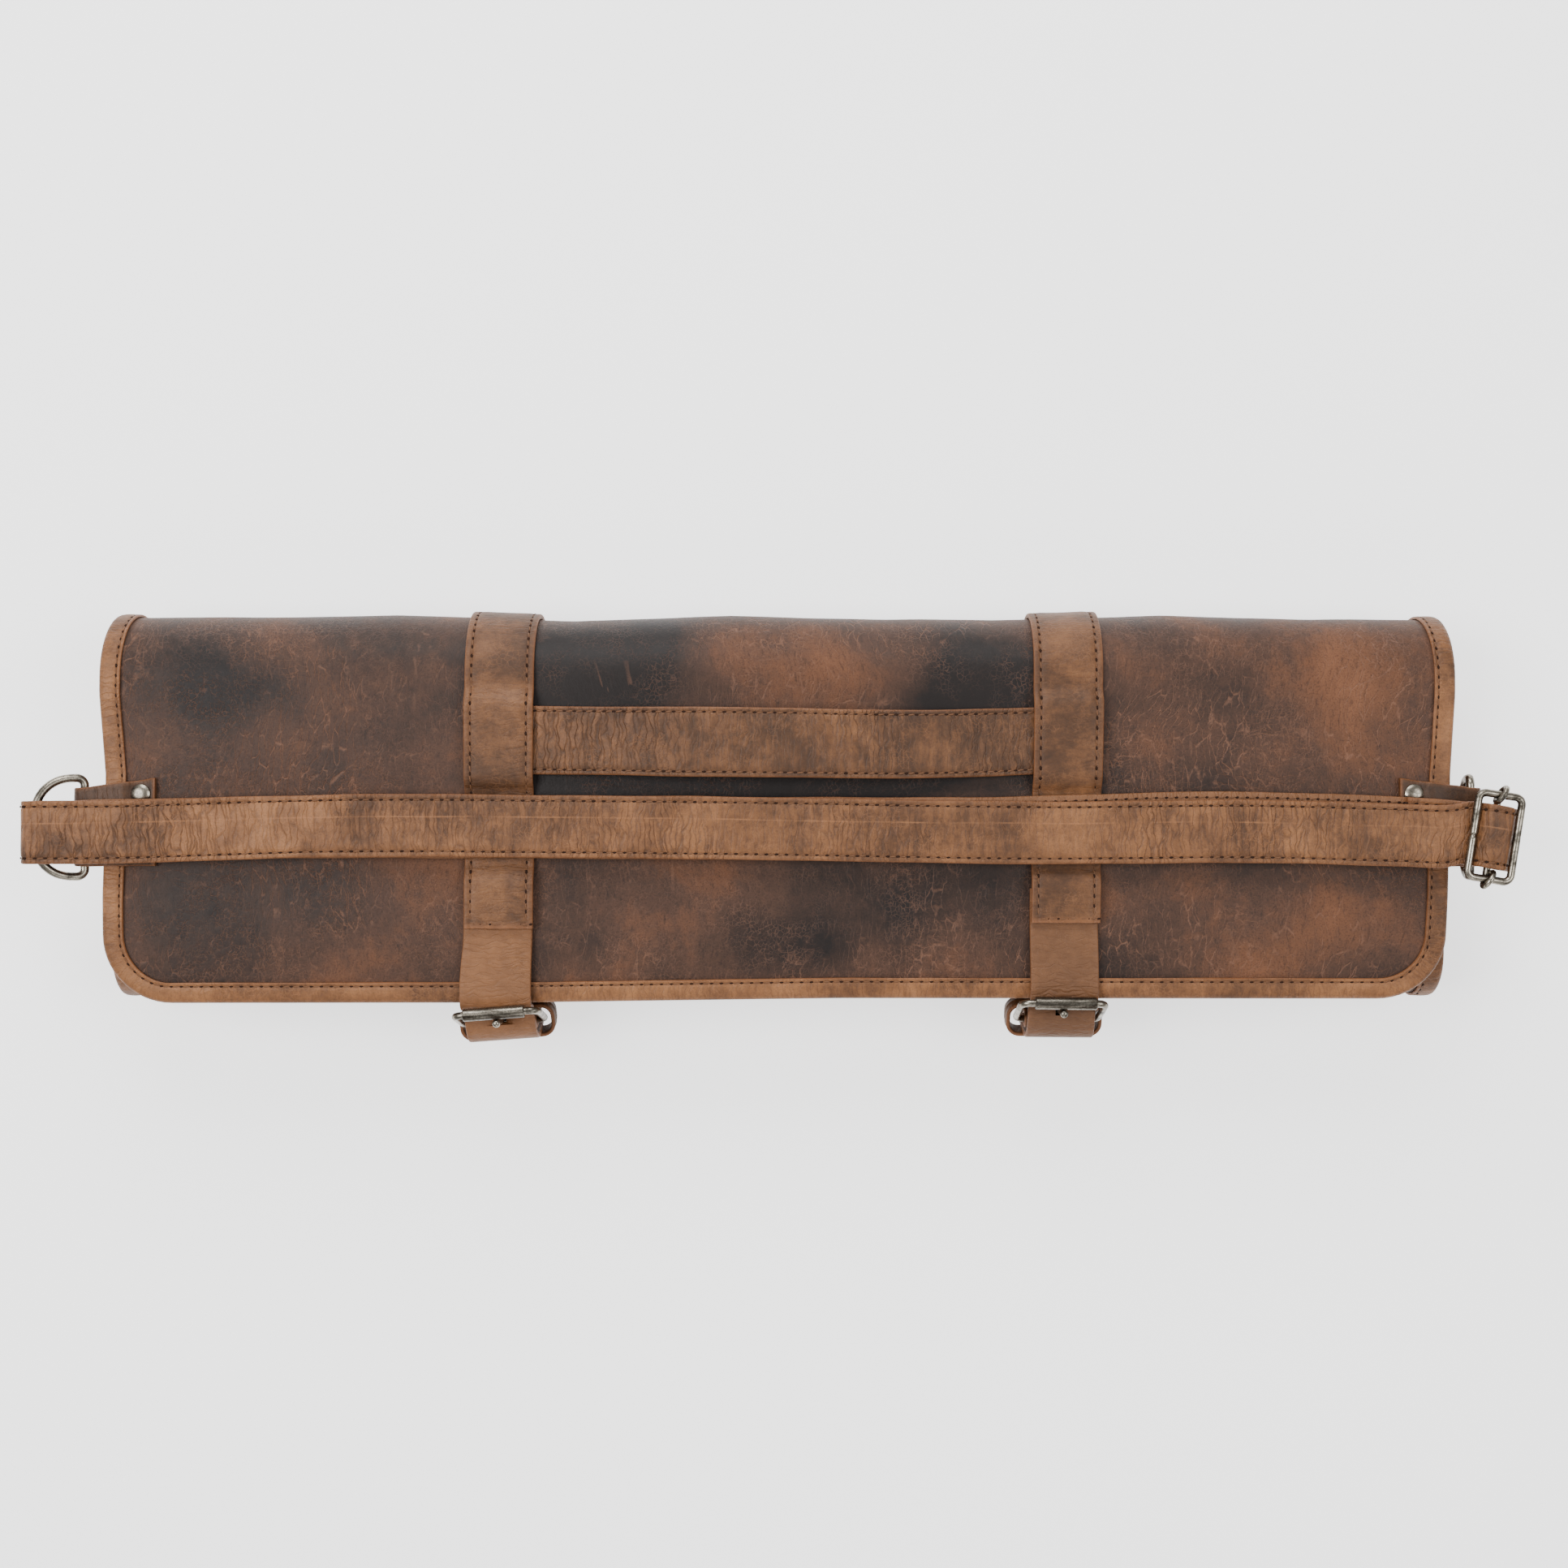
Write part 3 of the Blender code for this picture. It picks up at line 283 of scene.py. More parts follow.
class KnifeRollColours(bpy.types.PropertyGroup):
    panel_dark: bpy.props.FloatVectorProperty(
        name="Panel dark", description="Darkest waxed leather of the panel",
        subtype="COLOR", size=3, min=0.0, max=1.0, default=(0.0085, 0.0054, 0.0048),
    )
    panel_brown: bpy.props.FloatVectorProperty(
        name="Panel brown", description="Common brown of the panel",
        subtype="COLOR", size=3, min=0.0, max=1.0, default=(0.060, 0.0285, 0.0175),
    )
    panel_light: bpy.props.FloatVectorProperty(
        name="Panel light", description="Rubbed, lighter brown of the panel",
        subtype="COLOR", size=3, min=0.0, max=1.0, default=(0.118, 0.048, 0.0225),
    )
    trim_brown: bpy.props.FloatVectorProperty(
        name="Trim brown", description="Brown of the straps, the binding and the tabs",
        subtype="COLOR", size=3, min=0.0, max=1.0, default=(0.136, 0.0555, 0.0195),
    )
    raw_edge: bpy.props.FloatVectorProperty(
        name="Raw edge", description="Cut edge of the straps",
        subtype="COLOR", size=3, min=0.0, max=1.0, default=(0.19, 0.072, 0.026),
    )
    thread: bpy.props.FloatVectorProperty(
        name="Thread", description="Waxed thread",
        subtype="COLOR", size=3, min=0.0, max=1.0, default=(0.135, 0.058, 0.024),
    )
    metal: bpy.props.FloatVectorProperty(
        name="Antique metal", description="Antique nickel of the buckles, rings, rivets and adjuster",
        subtype="COLOR", size=3, min=0.0, max=1.0, default=(0.24, 0.215, 0.175),
    )


class KnifeRollStage(bpy.types.PropertyGroup):
    floor_colour: bpy.props.FloatVectorProperty(
        name="Floor", description="Colour of the floor",
        subtype="COLOR", size=3, min=0.0, max=1.0, default=(0.9, 0.9, 0.9),
    )
    floor_glow: bpy.props.FloatProperty(
        name="Floor glow", description="Light that comes through the floor from below",
        default=1.25, min=0.0, max=10.0,
    )
    camera_height: bpy.props.FloatProperty(
        name="Camera height", description="Height of the camera above the floor",
        default=0.75, min=0.4, max=3.0, unit="LENGTH",
    )
    key_power: bpy.props.FloatProperty(
        name="Key light", description="Power of the large soft light above the roll",
        default=17.0, min=0.0, max=200.0, unit="POWER",
    )
    world_strength: bpy.props.FloatProperty(
        name="Sky strength", description="Strength of the even light from all round",
        default=0.42, min=0.0, max=5.0,
    )


def sizes():
    return bpy.context.scene.knife_roll_sizes


def colours():
    return bpy.context.scene.knife_roll_colours


# Small helpers for numbers and tables
def mix(low, high, share):
    return low + (high - low) * share


def ease(value, low, high):
    """Rise smoothly from 0 at low to 1 at high."""
    share = min(1.0, max(0.0, (value - low) / (high - low)))
    return share * share * (3.0 - 2.0 * share)


def table_value(rows, key, column=1, eased=False):
    """Read a table at a key, with straight lines or smooth slopes between its rows."""
    if key <= rows[0][0]:
        return rows[0][column]
    for row, following in zip(rows, rows[1:]):
        if key <= following[0]:
            share = (key - row[0]) / (following[0] - row[0])
            if eased:
                share = ease(key, row[0], following[0])
            return mix(row[column], following[column], share)
    return rows[-1][column]


def smooth_rows(rows, bend, longest):
    """Pass a smooth curve through rows whose first three values are a point."""
    rows = [Vector(row) for row in rows]
    points = [row.to_3d() for row in rows]
    spans = [(b - a).length for a, b in zip(points, points[1:])]
    slopes = [(b - a) / span for a, b, span in zip(rows, rows[1:], spans)]
    tangents = [slopes[0]]
    for index in range(1, len(rows) - 1):
        before = spans[index - 1]
        after = spans[index]
        tangents.append((slopes[index - 1] * after + slopes[index] * before) / (before + after))
    tangents.append(slopes[-1])
    result = []
    for index, span in enumerate(spans):
        turn = math.degrees(tangents[index].to_3d().angle(tangents[index + 1].to_3d(), 0.0))
        steps = max(1, math.ceil(turn / bend), math.ceil(span / longest))
        for step in range(steps):
            t = step / steps
            start = rows[index] * (2 * t**3 - 3 * t**2 + 1) + rows[index + 1] * (3 * t**2 - 2 * t**3)
            lead = tangents[index] * (t**3 - 2 * t**2 + t) + tangents[index + 1] * (t**3 - t**2)
            result.append(start + lead * span)
    result.append(rows[-1])
    return result


def world(point):
    """Turn a point of the roll in millimetres into the frame's metres."""
    return (Vector(point) + SHIFT) * MM


# The rolled panel as a surface: x along the roll, s from the flap's edge inwards
def roll_frame(distance):
    """Give the point (y, z) and the heading of the rolled sheet's middle at a distance."""
    y = FLAP_START_Y
    z = FLAP_START_Z
    heading = math.radians(FLAP_START_RISE)
    if distance <= 0.0:
        return (y + distance * math.cos(heading), z + distance * math.sin(heading), heading)
    for _, length, turn in ROLL_ROWS:
        travelled = min(distance, length)
        swept = math.radians(turn) * travelled / length
        if turn == 0.0:
            y += travelled * math.cos(heading)
            z += travelled * math.sin(heading)
        else:
            radius = length / math.radians(turn)
            y += radius * (math.sin(heading) - math.sin(heading - swept))
            z += radius * (math.cos(heading - swept) - math.cos(heading))
        heading -= swept
        distance -= travelled
        if distance <= 0.0:
            break
    return (y, z, heading)


def top_wave(x, distance):
    """Push the top fold in and out a little along the roll."""
    reach = (distance - TOP_FOLD_MIDDLE) / TOP_WAVE_REACH
    return table_value(TOP_WAVE_ROWS, x) * math.exp(-reach * reach)


def roll_point(x, distance, outwards=0.0):
    """Give a point on the rolled sheet, moved outwards from the sheet's middle."""
    y, z, heading = roll_frame(distance)
    y -= outwards * math.sin(heading)
    z += outwards * math.cos(heading)
    return Vector((x, y + top_wave(x, distance), z))


def flap_distance(y):
    return y - FLAP_START_Y + DROOP_EXTRA


def back_distance(y):
    return BACK_START + roll_frame(BACK_START)[0] - y + RISE_EXTRA


def panel_side(column, distance):
    """Give the x of the panel's own edge, inside the binding."""
    inset = EDGE_INSET if column == 1 else -EDGE_INSET
    return table_value(SIDE_ROWS, distance, column) + inset


def flap_edge_shift(x, distance):
    """Lengthen or shorten the flap along the roll, fading out away from its edge."""
    fade = max(0.0, 1.0 - max(distance, 0.0) / FLAP_SHIFT_REACH)
    return table_value(FLAP_EDGE_ROWS, x) * fade


def fine_stations(start, end, step):
    """List distances along the roll: close together on folds, and a step apart elsewhere."""
    stations = [start]
    reached = 0.0
    for _, length, turn in ROLL_ROWS:
        steps = max(math.ceil(abs(turn) / FOLD_STEP), math.ceil(length / step))
        for index in range(1, steps + 1):
            station = reached + length * index / steps
            if start + 0.4 * length / steps < station < end - 0.4 * length / steps:
                stations.append(station)
        reached += length
    stations.append(end)
    return stations


# Skins and finished pieces
def dressed(name, mesh, material, nodes):
    made = bpy.data.objects.new(name, mesh)
    bpy.context.scene.collection.objects.link(made)
    for item in material if isinstance(material, (list, tuple)) else [material]:
        made.data.materials.append(item)
    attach(made, "root")
    if nodes:
        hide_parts(*nodes)
    return made


def smooth_faces(mesh, angle=50.0):
    mesh.shade_smooth()
    mesh.set_sharp_from_angle(angle=math.radians(angle))


def skin(name, sections, marks, lengths, closed=False):
    """Skin a run of closed sections, all points in metres, and fill both ends.

    marks holds a row for each point round the section: how raw its edge is, and how fleshy its face.
    lengths holds each section's distance along the piece, for the map that its wrinkles follow.
    """
    rows = len(sections)
    columns = len(sections[0])
    body = bmesh.new()
    bmesh.ops.create_grid(body, x_segments=rows - 1, y_segments=columns, size=0.5)
    raw = body.verts.layers.float.new("raw")
    flesh = body.verts.layers.float.new("flesh")
    layout = body.loops.layers.uv.new("along")
    places = {}
    for vertex in body.verts:
        row = round((vertex.co.x + 0.5) * (rows - 1))
        column = round((vertex.co.y + 0.5) * columns)
        places[vertex] = (row, column)
    around = [0.0]
    middle = sections[rows // 2]
    for index in range(columns):
        around.append(around[-1] + (middle[(index + 1) % columns] - middle[index]).length)
    for face in body.faces:
        for corner in face.loops:
            row, column = places[corner.vert]
            corner[layout].uv = (lengths[row], around[column])
    for vertex, (row, column) in places.items():
        vertex.co = sections[row][column % columns]
        vertex[raw] = marks[column % columns][0]
        vertex[flesh] = marks[column % columns][1]
    bmesh.ops.remove_doubles(body, verts=body.verts, dist=0.000002)
    rims = [edge for edge in body.edges if edge.is_boundary]
    if rims and not closed:
        filled = bmesh.ops.holes_fill(body, edges=rims, sides=0)
        for face in filled["faces"]:
            for corner in face.loops:
                corner[layout].uv = (lengths[0], 0.0)
        for edge in rims:
            for vertex in edge.verts:
                vertex[raw] = 1.0
    bmesh.ops.recalc_face_normals(body, faces=body.faces)
    mesh = bpy.data.meshes.new(name)
    body.to_mesh(mesh)
    body.free()
    smooth_faces(mesh)
    return mesh


def strap_section(width, wall, inset, crown=0.12):
    """List a strap's section as (across, up, raw, flesh): a stitched top face and a plain underside."""
    half = width / 2
    top = wall / 2
    corner = min(0.55, wall * 0.3)
    side = [
        (half, 0.0, 1.0),
        (half, top - corner, 1.0),
        (half - corner * 0.3, top - corner * 0.3, 0.8),
        (half - corner, top, 0.25),
    ]
    if inset:
        side += [
            (half - inset + 0.75, top + crown * 0.3, 0.0),
            (half - inset + 0.3, top - STITCH_GROOVE * 0.6, 0.0),
            (half - inset, top - STITCH_GROOVE, 0.0),
            (half - inset - 0.3, top - STITCH_GROOVE * 0.6, 0.0),
            (half - inset - 0.9, top + crown * 0.5, 0.0),
            (half - inset - 2.6, top + crown, 0.0),
        ]
    else:
        side += [(half - 1.6, top, 0.0), (half - 4.0, top + crown * 0.5, 0.0)]
    inner = side[-1][0]
    top_side = side + [(inner * 0.66, top + crown * 0.8, 0.0), (inner * 0.33, top + crown * 0.7, 0.0)]
    section = [(u, h, mark, 0.0) for u, h, mark in top_side]
    section.append((0.0, top + crown * 0.6, 0.0, 0.0))
    section += [(-u, h, mark, 0.0) for u, h, mark in reversed(top_side)]
    under = [
        (half, -top + corner, 1.0, 0.5),
        (half - corner * 0.3, -top + corner * 0.3, 0.8, 0.8),
        (half - corner, -top, 0.3, 1.0),
        (half - 2.4, -top, 0.0, 1.0),
        (half * 0.4, -top, 0.0, 1.0),
    ]
    section += [(-u, h, mark, flesh) for u, h, mark, flesh in under]
    section += list(reversed(under))
    return section


def strap_frames(rows, lengthwise):
    """Give (centre, across, up, width, distance) for each row of x, y, z, yaw and width."""
    centres = [row.to_3d() for row in (Vector(row) for row in rows)]
    frames = []
    travelled = 0.0
    for index, row in enumerate(rows):
        yaw = math.radians(row[3])
        if lengthwise:
            across = Vector((math.cos(yaw), math.sin(yaw), 0.0))
        else:
            across = Vector((-math.sin(yaw), math.cos(yaw), 0.0))
        before = centres[max(0, index - 1)]
        after = centres[min(len(rows) - 1, index + 1)]
        tangent = (after - before).normalized()
        up = across.cross(tangent).normalized()
        if index:
            travelled += (centres[index] - centres[index - 1]).length
        frames.append((centres[index], across, up, row[4], travelled))
    return frames


def strap_mesh(name, frames, wall, inset, flip=False, wander=0.18):
    """Loft a strap through its frames, with a little wander in its edges and its face."""
    sections = []
    lengths = []
    sign = -1.0 if flip else 1.0
    marks = []
    for centre, across, up, width, travelled in frames:
        section = strap_section(width, wall, inset)
        marks = [(mark, flesh) for u, h, mark, flesh in section]
        ring = []
        for u, h, mark, flesh in section:
            side = math.copysign(1.0, u)
            drift = wander * noise.noise(Vector((travelled * 0.035, side * 7.0, width)))
            lift = 0.0
            if h > 0.0 and abs(u) < width / 2 - 1.0:
                lift = 0.16 * noise.noise(Vector((travelled * 0.09, u * 0.12, 3.0)))
            ring.append(world(centre + across * sign * (u + side * drift * (abs(u) > width * 0.4))
                              + up * sign * (h + lift)))
        sections.append(ring)
        lengths.append(travelled * MM)
    return skin(name, sections, marks, lengths)


# Stitches
def stitch_shapes():
    """Make the two small shapes that every seam repeats: a length of thread, and at its end a dark patch of
    painted shade that stands for the hole.
    """
    size = sizes()
    template = bmesh.new()
    bmesh.ops.create_uvsphere(template, u_segments=8, v_segments=5, radius=1.0)
    half = size.thread_width / 2
    bmesh.ops.rotate(template, verts=template.verts, matrix=Matrix.Rotation(math.pi / 2, 3, "Y"))
    bmesh.ops.scale(template, verts=template.verts, vec=(size.stitch_length / 2, half, half * 0.75))
    for face in template.faces:
        face.smooth = True
    # The hole is a flat dark ellipsoid: painted shade where the thread goes into the leather
    hole = bmesh.new()
    bmesh.ops.create_uvsphere(hole, u_segments=6, v_segments=4, radius=1.0)
    bmesh.ops.scale(hole, verts=hole.verts, vec=(half * 2.6, half * 1.65, half * 0.6))
    for face in hole.faces:
        face.material_index = 1
        face.smooth = True
    thread_mesh = bpy.data.meshes.new("stitch_shape")
    template.to_mesh(thread_mesh)
    template.free()
    hole_mesh = bpy.data.meshes.new("hole_shape")
    hole.to_mesh(hole_mesh)
    hole.free()
    return thread_mesh, hole_mesh


def seam(body, shapes, path, slant=0.0):
    """Lay stitches along a path of (point, up) in metres."""
    size = sizes()
    pitch = size.stitch_pitch
    travelled = 0.0
    next_at = pitch * 0.5
    for (start, up), (end, end_up) in zip(path, path[1:]):
        span = (end - start).length
        if span < 1e-7:
            continue
        along = (end - start) / span
        while next_at <= travelled + span:
            share = (next_at - travelled) / span
            normal = up.lerp(end_up, share).normalized()
            across = normal.cross(along).normalized()
            lead = along.copy()
            if slant:
                lead = (along + across * slant).normalized()
                across = normal.cross(lead).normalized()
            centre = start.lerp(end, share)
            turn = Matrix((lead, across, normal)).transposed().to_4x4()
            for shape, offset, sink in ((shapes[0], 0.0, 0.00006), (shapes[1], pitch / 2, -0.00002)):
                place = Matrix.Translation(centre + along * offset + normal * sink) @ turn
                shape.transform(place)
                body.from_mesh(shape)
                shape.transform(place.inverted())
            next_at += pitch
        travelled += span


def seam_object(name, paths, slant=0.0):
    """Make all the stitches of one piece as one object."""
    shapes = stitch_shapes()
    body = bmesh.new()
    for path in paths:
        seam(body, shapes, path, slant)
    mesh = bpy.data.meshes.new(name)
    body.to_mesh(mesh)
    body.free()
    for shape in shapes:
        bpy.data.meshes.remove(shape)
    return dressed(name, mesh, [thread_finish(), hole_finish()], [])


def strap_seam(frames, wall, inset, side, flip=False, start=0.0, under=False):
    """Follow one edge of a strap, on its top face or on its underside."""
    path = []
    sign = -1.0 if flip else 1.0
    face = -1.0 if under else 1.0
    height = wall / 2 - (SEAM_DEPTH_UNDER if under else SEAM_DEPTH)
    for centre, across, up, width, travelled in frames:
        if travelled >= start:
            point = centre + across * side * (width / 2 - inset) + up * sign * face * height
            path.append((world(point), up * sign * face))
    return path


# Node helpers
def node_material(name):
    made = bpy.data.materials.new(name)
    made.use_nodes = True
    made.node_tree.nodes.clear()
    return made, made.node_tree


def fill(tree, socket, value):
    """Link a socket to another one, or set its value."""
    if isinstance(value, bpy.types.NodeSocket):
        tree.links.new(value, socket)
    else:
        socket.default_value = value


def add(tree, kind, values=None, **settings):
    """Add one node, set its settings, and fill its sockets with values or links."""
    made = tree.nodes.new(kind)
    for key, value in settings.items():
        setattr(made, key, value)
    for key, value in (values or {}).items():
        fill(tree, made.inputs[key], value)
    return made


def stretched(tree, source, scale):
    return add(tree, "ShaderNodeMapping", {"Vector": source, "Scale": scale}).outputs["Vector"]


def times(tree, first, second):
    return maths(tree, "MULTIPLY", first, second)


def swing(tree, value, share):
    """Centre a cloud on zero and scale it."""
    return times(tree, maths(tree, "SUBTRACT", value, 0.5), share)


def heap(tree, rows):
    """Add up rows of a value and its share."""
    total = None
    for value, share in rows:
        part = times(tree, value, share)
        total = part if total is None else maths(tree, "ADD", total, part)
    return total


def scaled(colour, share, lift=0.0):
    return tuple(share * value + lift for value in colour)


def cloudy(tree, source, scale, detail=3.0, roughness=0.55, distortion=0.0):
    inputs = {"Vector": source, "Scale": scale, "Detail": detail, "Roughness": roughness}
    inputs["Distortion"] = distortion
    return add(tree, "ShaderNodeTexNoise", inputs).outputs["Fac"]


def ramp(tree, source, stops):
    """Turn a value into a colour by stops of (place, colour)."""
    made = add(tree, "ShaderNodeValToRGB", {"Fac": source})
    band = made.color_ramp
    band.elements[0].position = stops[0][0]
    band.elements[0].color = (*stops[0][1], 1.0)
    band.elements[1].position = stops[-1][0]
    band.elements[1].color = (*stops[-1][1], 1.0)
    for place, colour in stops[1:-1]:
        stop = band.elements.new(place)
        stop.color = (*colour, 1.0)
    return made.outputs["Color"]


def between(tree, source, low, high, to_low=0.0, to_high=1.0):
    """Rescale a value and clamp it."""
    made = add(
        tree, "ShaderNodeMapRange",
        {"Value": source, "From Min": low, "From Max": high, "To Min": to_low, "To Max": to_high},
    )
    return made.outputs["Result"]


def maths(tree, operation, first, second=0.0):
    made = add(tree, "ShaderNodeMath", operation=operation)
    for index, value in enumerate((first, second)):
        fill(tree, made.inputs[index], value)
    return made.outputs[0]


def blended(tree, share, first, second):
    """Mix two colours by a share."""
    made = add(tree, "ShaderNodeMix", data_type="RGBA", blend_type="MIX")
    for key, value in ((0, share), (6, first), (7, second)):
        if key and not isinstance(value, bpy.types.NodeSocket):
            value = (*value, 1.0)
        fill(tree, made.inputs[key], value)
    return made.outputs[2]


def veins(tree, source, scale, width):
    """Give thin bright lines along the borders of cells."""
    made = add(tree, "ShaderNodeTexVoronoi", {"Vector": source, "Scale": scale}, feature="DISTANCE_TO_EDGE")
    return between(tree, made.outputs["Distance"], width, 0.0)


def wobbled(tree, source, scale, amount):
    """Push a coordinate about by noise, so that cells lose their straight borders."""
    cloud = add(tree, "ShaderNodeTexNoise", {"Vector": source, "Scale": scale, "Detail": 2.0})
    centred = add(
        tree, "ShaderNodeVectorMath", {0: cloud.outputs["Color"], 1: (-0.5, -0.5, -0.5)}, operation="ADD",
    )
    spread = add(
        tree, "ShaderNodeVectorMath", {0: centred.outputs[0], "Scale": amount}, operation="SCALE",
    )
    moved = add(tree, "ShaderNodeVectorMath", {0: source, 1: spread.outputs[0]}, operation="ADD")
    return moved.outputs[0]


def object_place(tree):
    return add(tree, "ShaderNodeTexCoord").outputs["Object"]


def map_place(tree):
    return add(tree, "ShaderNodeUVMap", uv_map="along").outputs["UV"]


def attribute(tree, name):
    return add(tree, "ShaderNodeAttribute", attribute_name=name).outputs["Fac"]


def finish_surface(tree, colour, roughness, height, bump, **shader_values):
    """Close a material with its shader, its bump and its output."""
    shader = add(tree, "ShaderNodeBsdfPrincipled", {"Base Color": colour, "Roughness": roughness})
    for key, value in shader_values.items():
        shader.inputs[key.replace("_", " ")].default_value = value
    if height is not None:
        raised = add(
            tree, "ShaderNodeBump", {"Height": height, "Strength": bump, "Distance": 0.0006},
        )
        tree.links.new(raised.outputs["Normal"], shader.inputs["Normal"])
    add(tree, "ShaderNodeOutputMaterial", {"Surface": shader.outputs["BSDF"]})


# Finishes
def panel_finish():
    """Waxed pull-up hide: dark clouds with a painted shadow below the handle among them, rubbed browns, pale
    creases, fine grain and a few scratches.
    """
    shades = colours()
    made, tree = node_material("panel_waxed_hide")
    here = object_place(tree)
    # The cloud attribute carries the hide's clouds and the painted shadow below the handle
    cloud = attribute(tree, "cloud")
    drifted = wobbled(tree, here, 14.0, 0.03)
    coarse = cloudy(tree, drifted, 42.0, 6.0, 0.64)
    streaky = cloudy(tree, stretched(tree, drifted, (1.6, 0.6, 1.0)), 95.0, 4.0, 0.6)
    fine = cloudy(tree, here, 260.0, 4.0, 0.62)
    tone = maths(tree, "ADD", cloud, swing(tree, coarse, 0.62))
    tone = maths(tree, "ADD", tone, swing(tree, streaky, 0.32))
    tone = maths(tree, "ADD", tone, swing(tree, fine, 0.3))
    dusky = scaled(shades.panel_brown, 0.5, 0.002)
    colour = ramp(tree, tone, (
        (0.02, tuple(shades.panel_dark)),
        (0.30, dusky),
        (0.54, tuple(shades.panel_brown)),
        (0.80, tuple(shades.panel_light)),
        (1.0, scaled(shades.panel_light, 1.4)),
    ))

    # Creases: pale cracks in bundles that run mostly across the roll, and finer ones everywhere
    bundle_place = wobbled(tree, wobbled(tree, here, 16.0, 0.034), 190.0, 0.003)
    long_cracks = veins(tree, stretched(tree, bundle_place, (2.6, 0.5, 1.0)), 150.0, 0.05)
    side_place = wobbled(tree, wobbled(tree, here, 30.0, 0.02), 200.0, 0.003)
    side_cracks = veins(tree, stretched(tree, side_place, (0.6, 2.1, 1.0)), 165.0, 0.05)
    broken = between(tree, cloudy(tree, here, 200.0, 3.0, 0.6), 0.36, 0.52)
    long_where = between(tree, cloudy(tree, here, 15.0, 4.0, 0.62), 0.42, 0.6)
    waxed = between(tree, cloud, 0.0, 0.4)
    side_where = between(tree, cloudy(tree, here, 27.0, 4.0, 0.65), 0.52, 0.66)
    long_cracks = times(tree, times(tree, long_cracks, long_where), broken)
    side_cracks = times(tree, times(tree, side_cracks, side_where), broken)
    cracks = maths(tree, "MAXIMUM", long_cracks, times(tree, side_cracks, 0.8))
    cracks = times(tree, cracks, waxed)
    pale = scaled(shades.panel_light, 1.3, 0.02)
    colour = blended(tree, times(tree, cracks, 0.74), colour, pale)
    small_cracks = veins(tree, wobbled(tree, here, 260.0, 0.0035), 620.0, 0.10)
    small_cracks = times(tree, small_cracks, broken)
    small_cracks = times(tree, small_cracks, between(tree, cloudy(tree, here, 36.0, 3.0), 0.38, 0.62))
    colour = blended(tree, times(tree, small_cracks, 0.36), colour, pale)
    shadowed = cloudy(tree, stretched(tree, bundle_place, (2.2, 0.5, 1.0)), 420.0, 3.0, 0.6)
    colour = blended(tree, between(tree, shadowed, 0.56, 0.72, 0.0, 0.45), colour, tuple(shades.panel_dark))

    # Scratches
    scratch_place = stretched(tree, wobbled(tree, here, 9.0, 0.05), (1.0, 0.07, 1.0))
    scratches = between(tree, cloudy(tree, scratch_place, 330.0, 1.0, 0.4), 0.72, 0.76)
    scratches = times(tree, scratches, between(tree, cloudy(tree, here, 24.0, 2.0), 0.5, 0.6))
    colour = blended(tree, times(tree, scratches, 0.28), colour, pale)
    pores = cloudy(tree, here, 1500.0, 2.0, 0.6)
    colour = blended(tree, between(tree, pores, 0.5, 0.72, 0.0, 0.45), colour, tuple(shades.panel_dark))

    fleshy = blended(tree, fine, (0.07, 0.033, 0.018), (0.12, 0.062, 0.036))
    colour = blended(tree, attribute(tree, "flesh"), colour, fleshy)
    rows = ((cracks, -0.6), (small_cracks, -0.35), (shadowed, -0.35), (pores, 0.22), (fine, 0.45))
    height = heap(tree, rows)
    rough = maths(tree, "ADD", between(tree, tone, 0.2, 0.9, 0.46, 0.6), times(tree, pores, 0.12))
    finish_surface(tree, colour, rough, height, 0.5, Specular_IOR_Level=0.25)
    return made


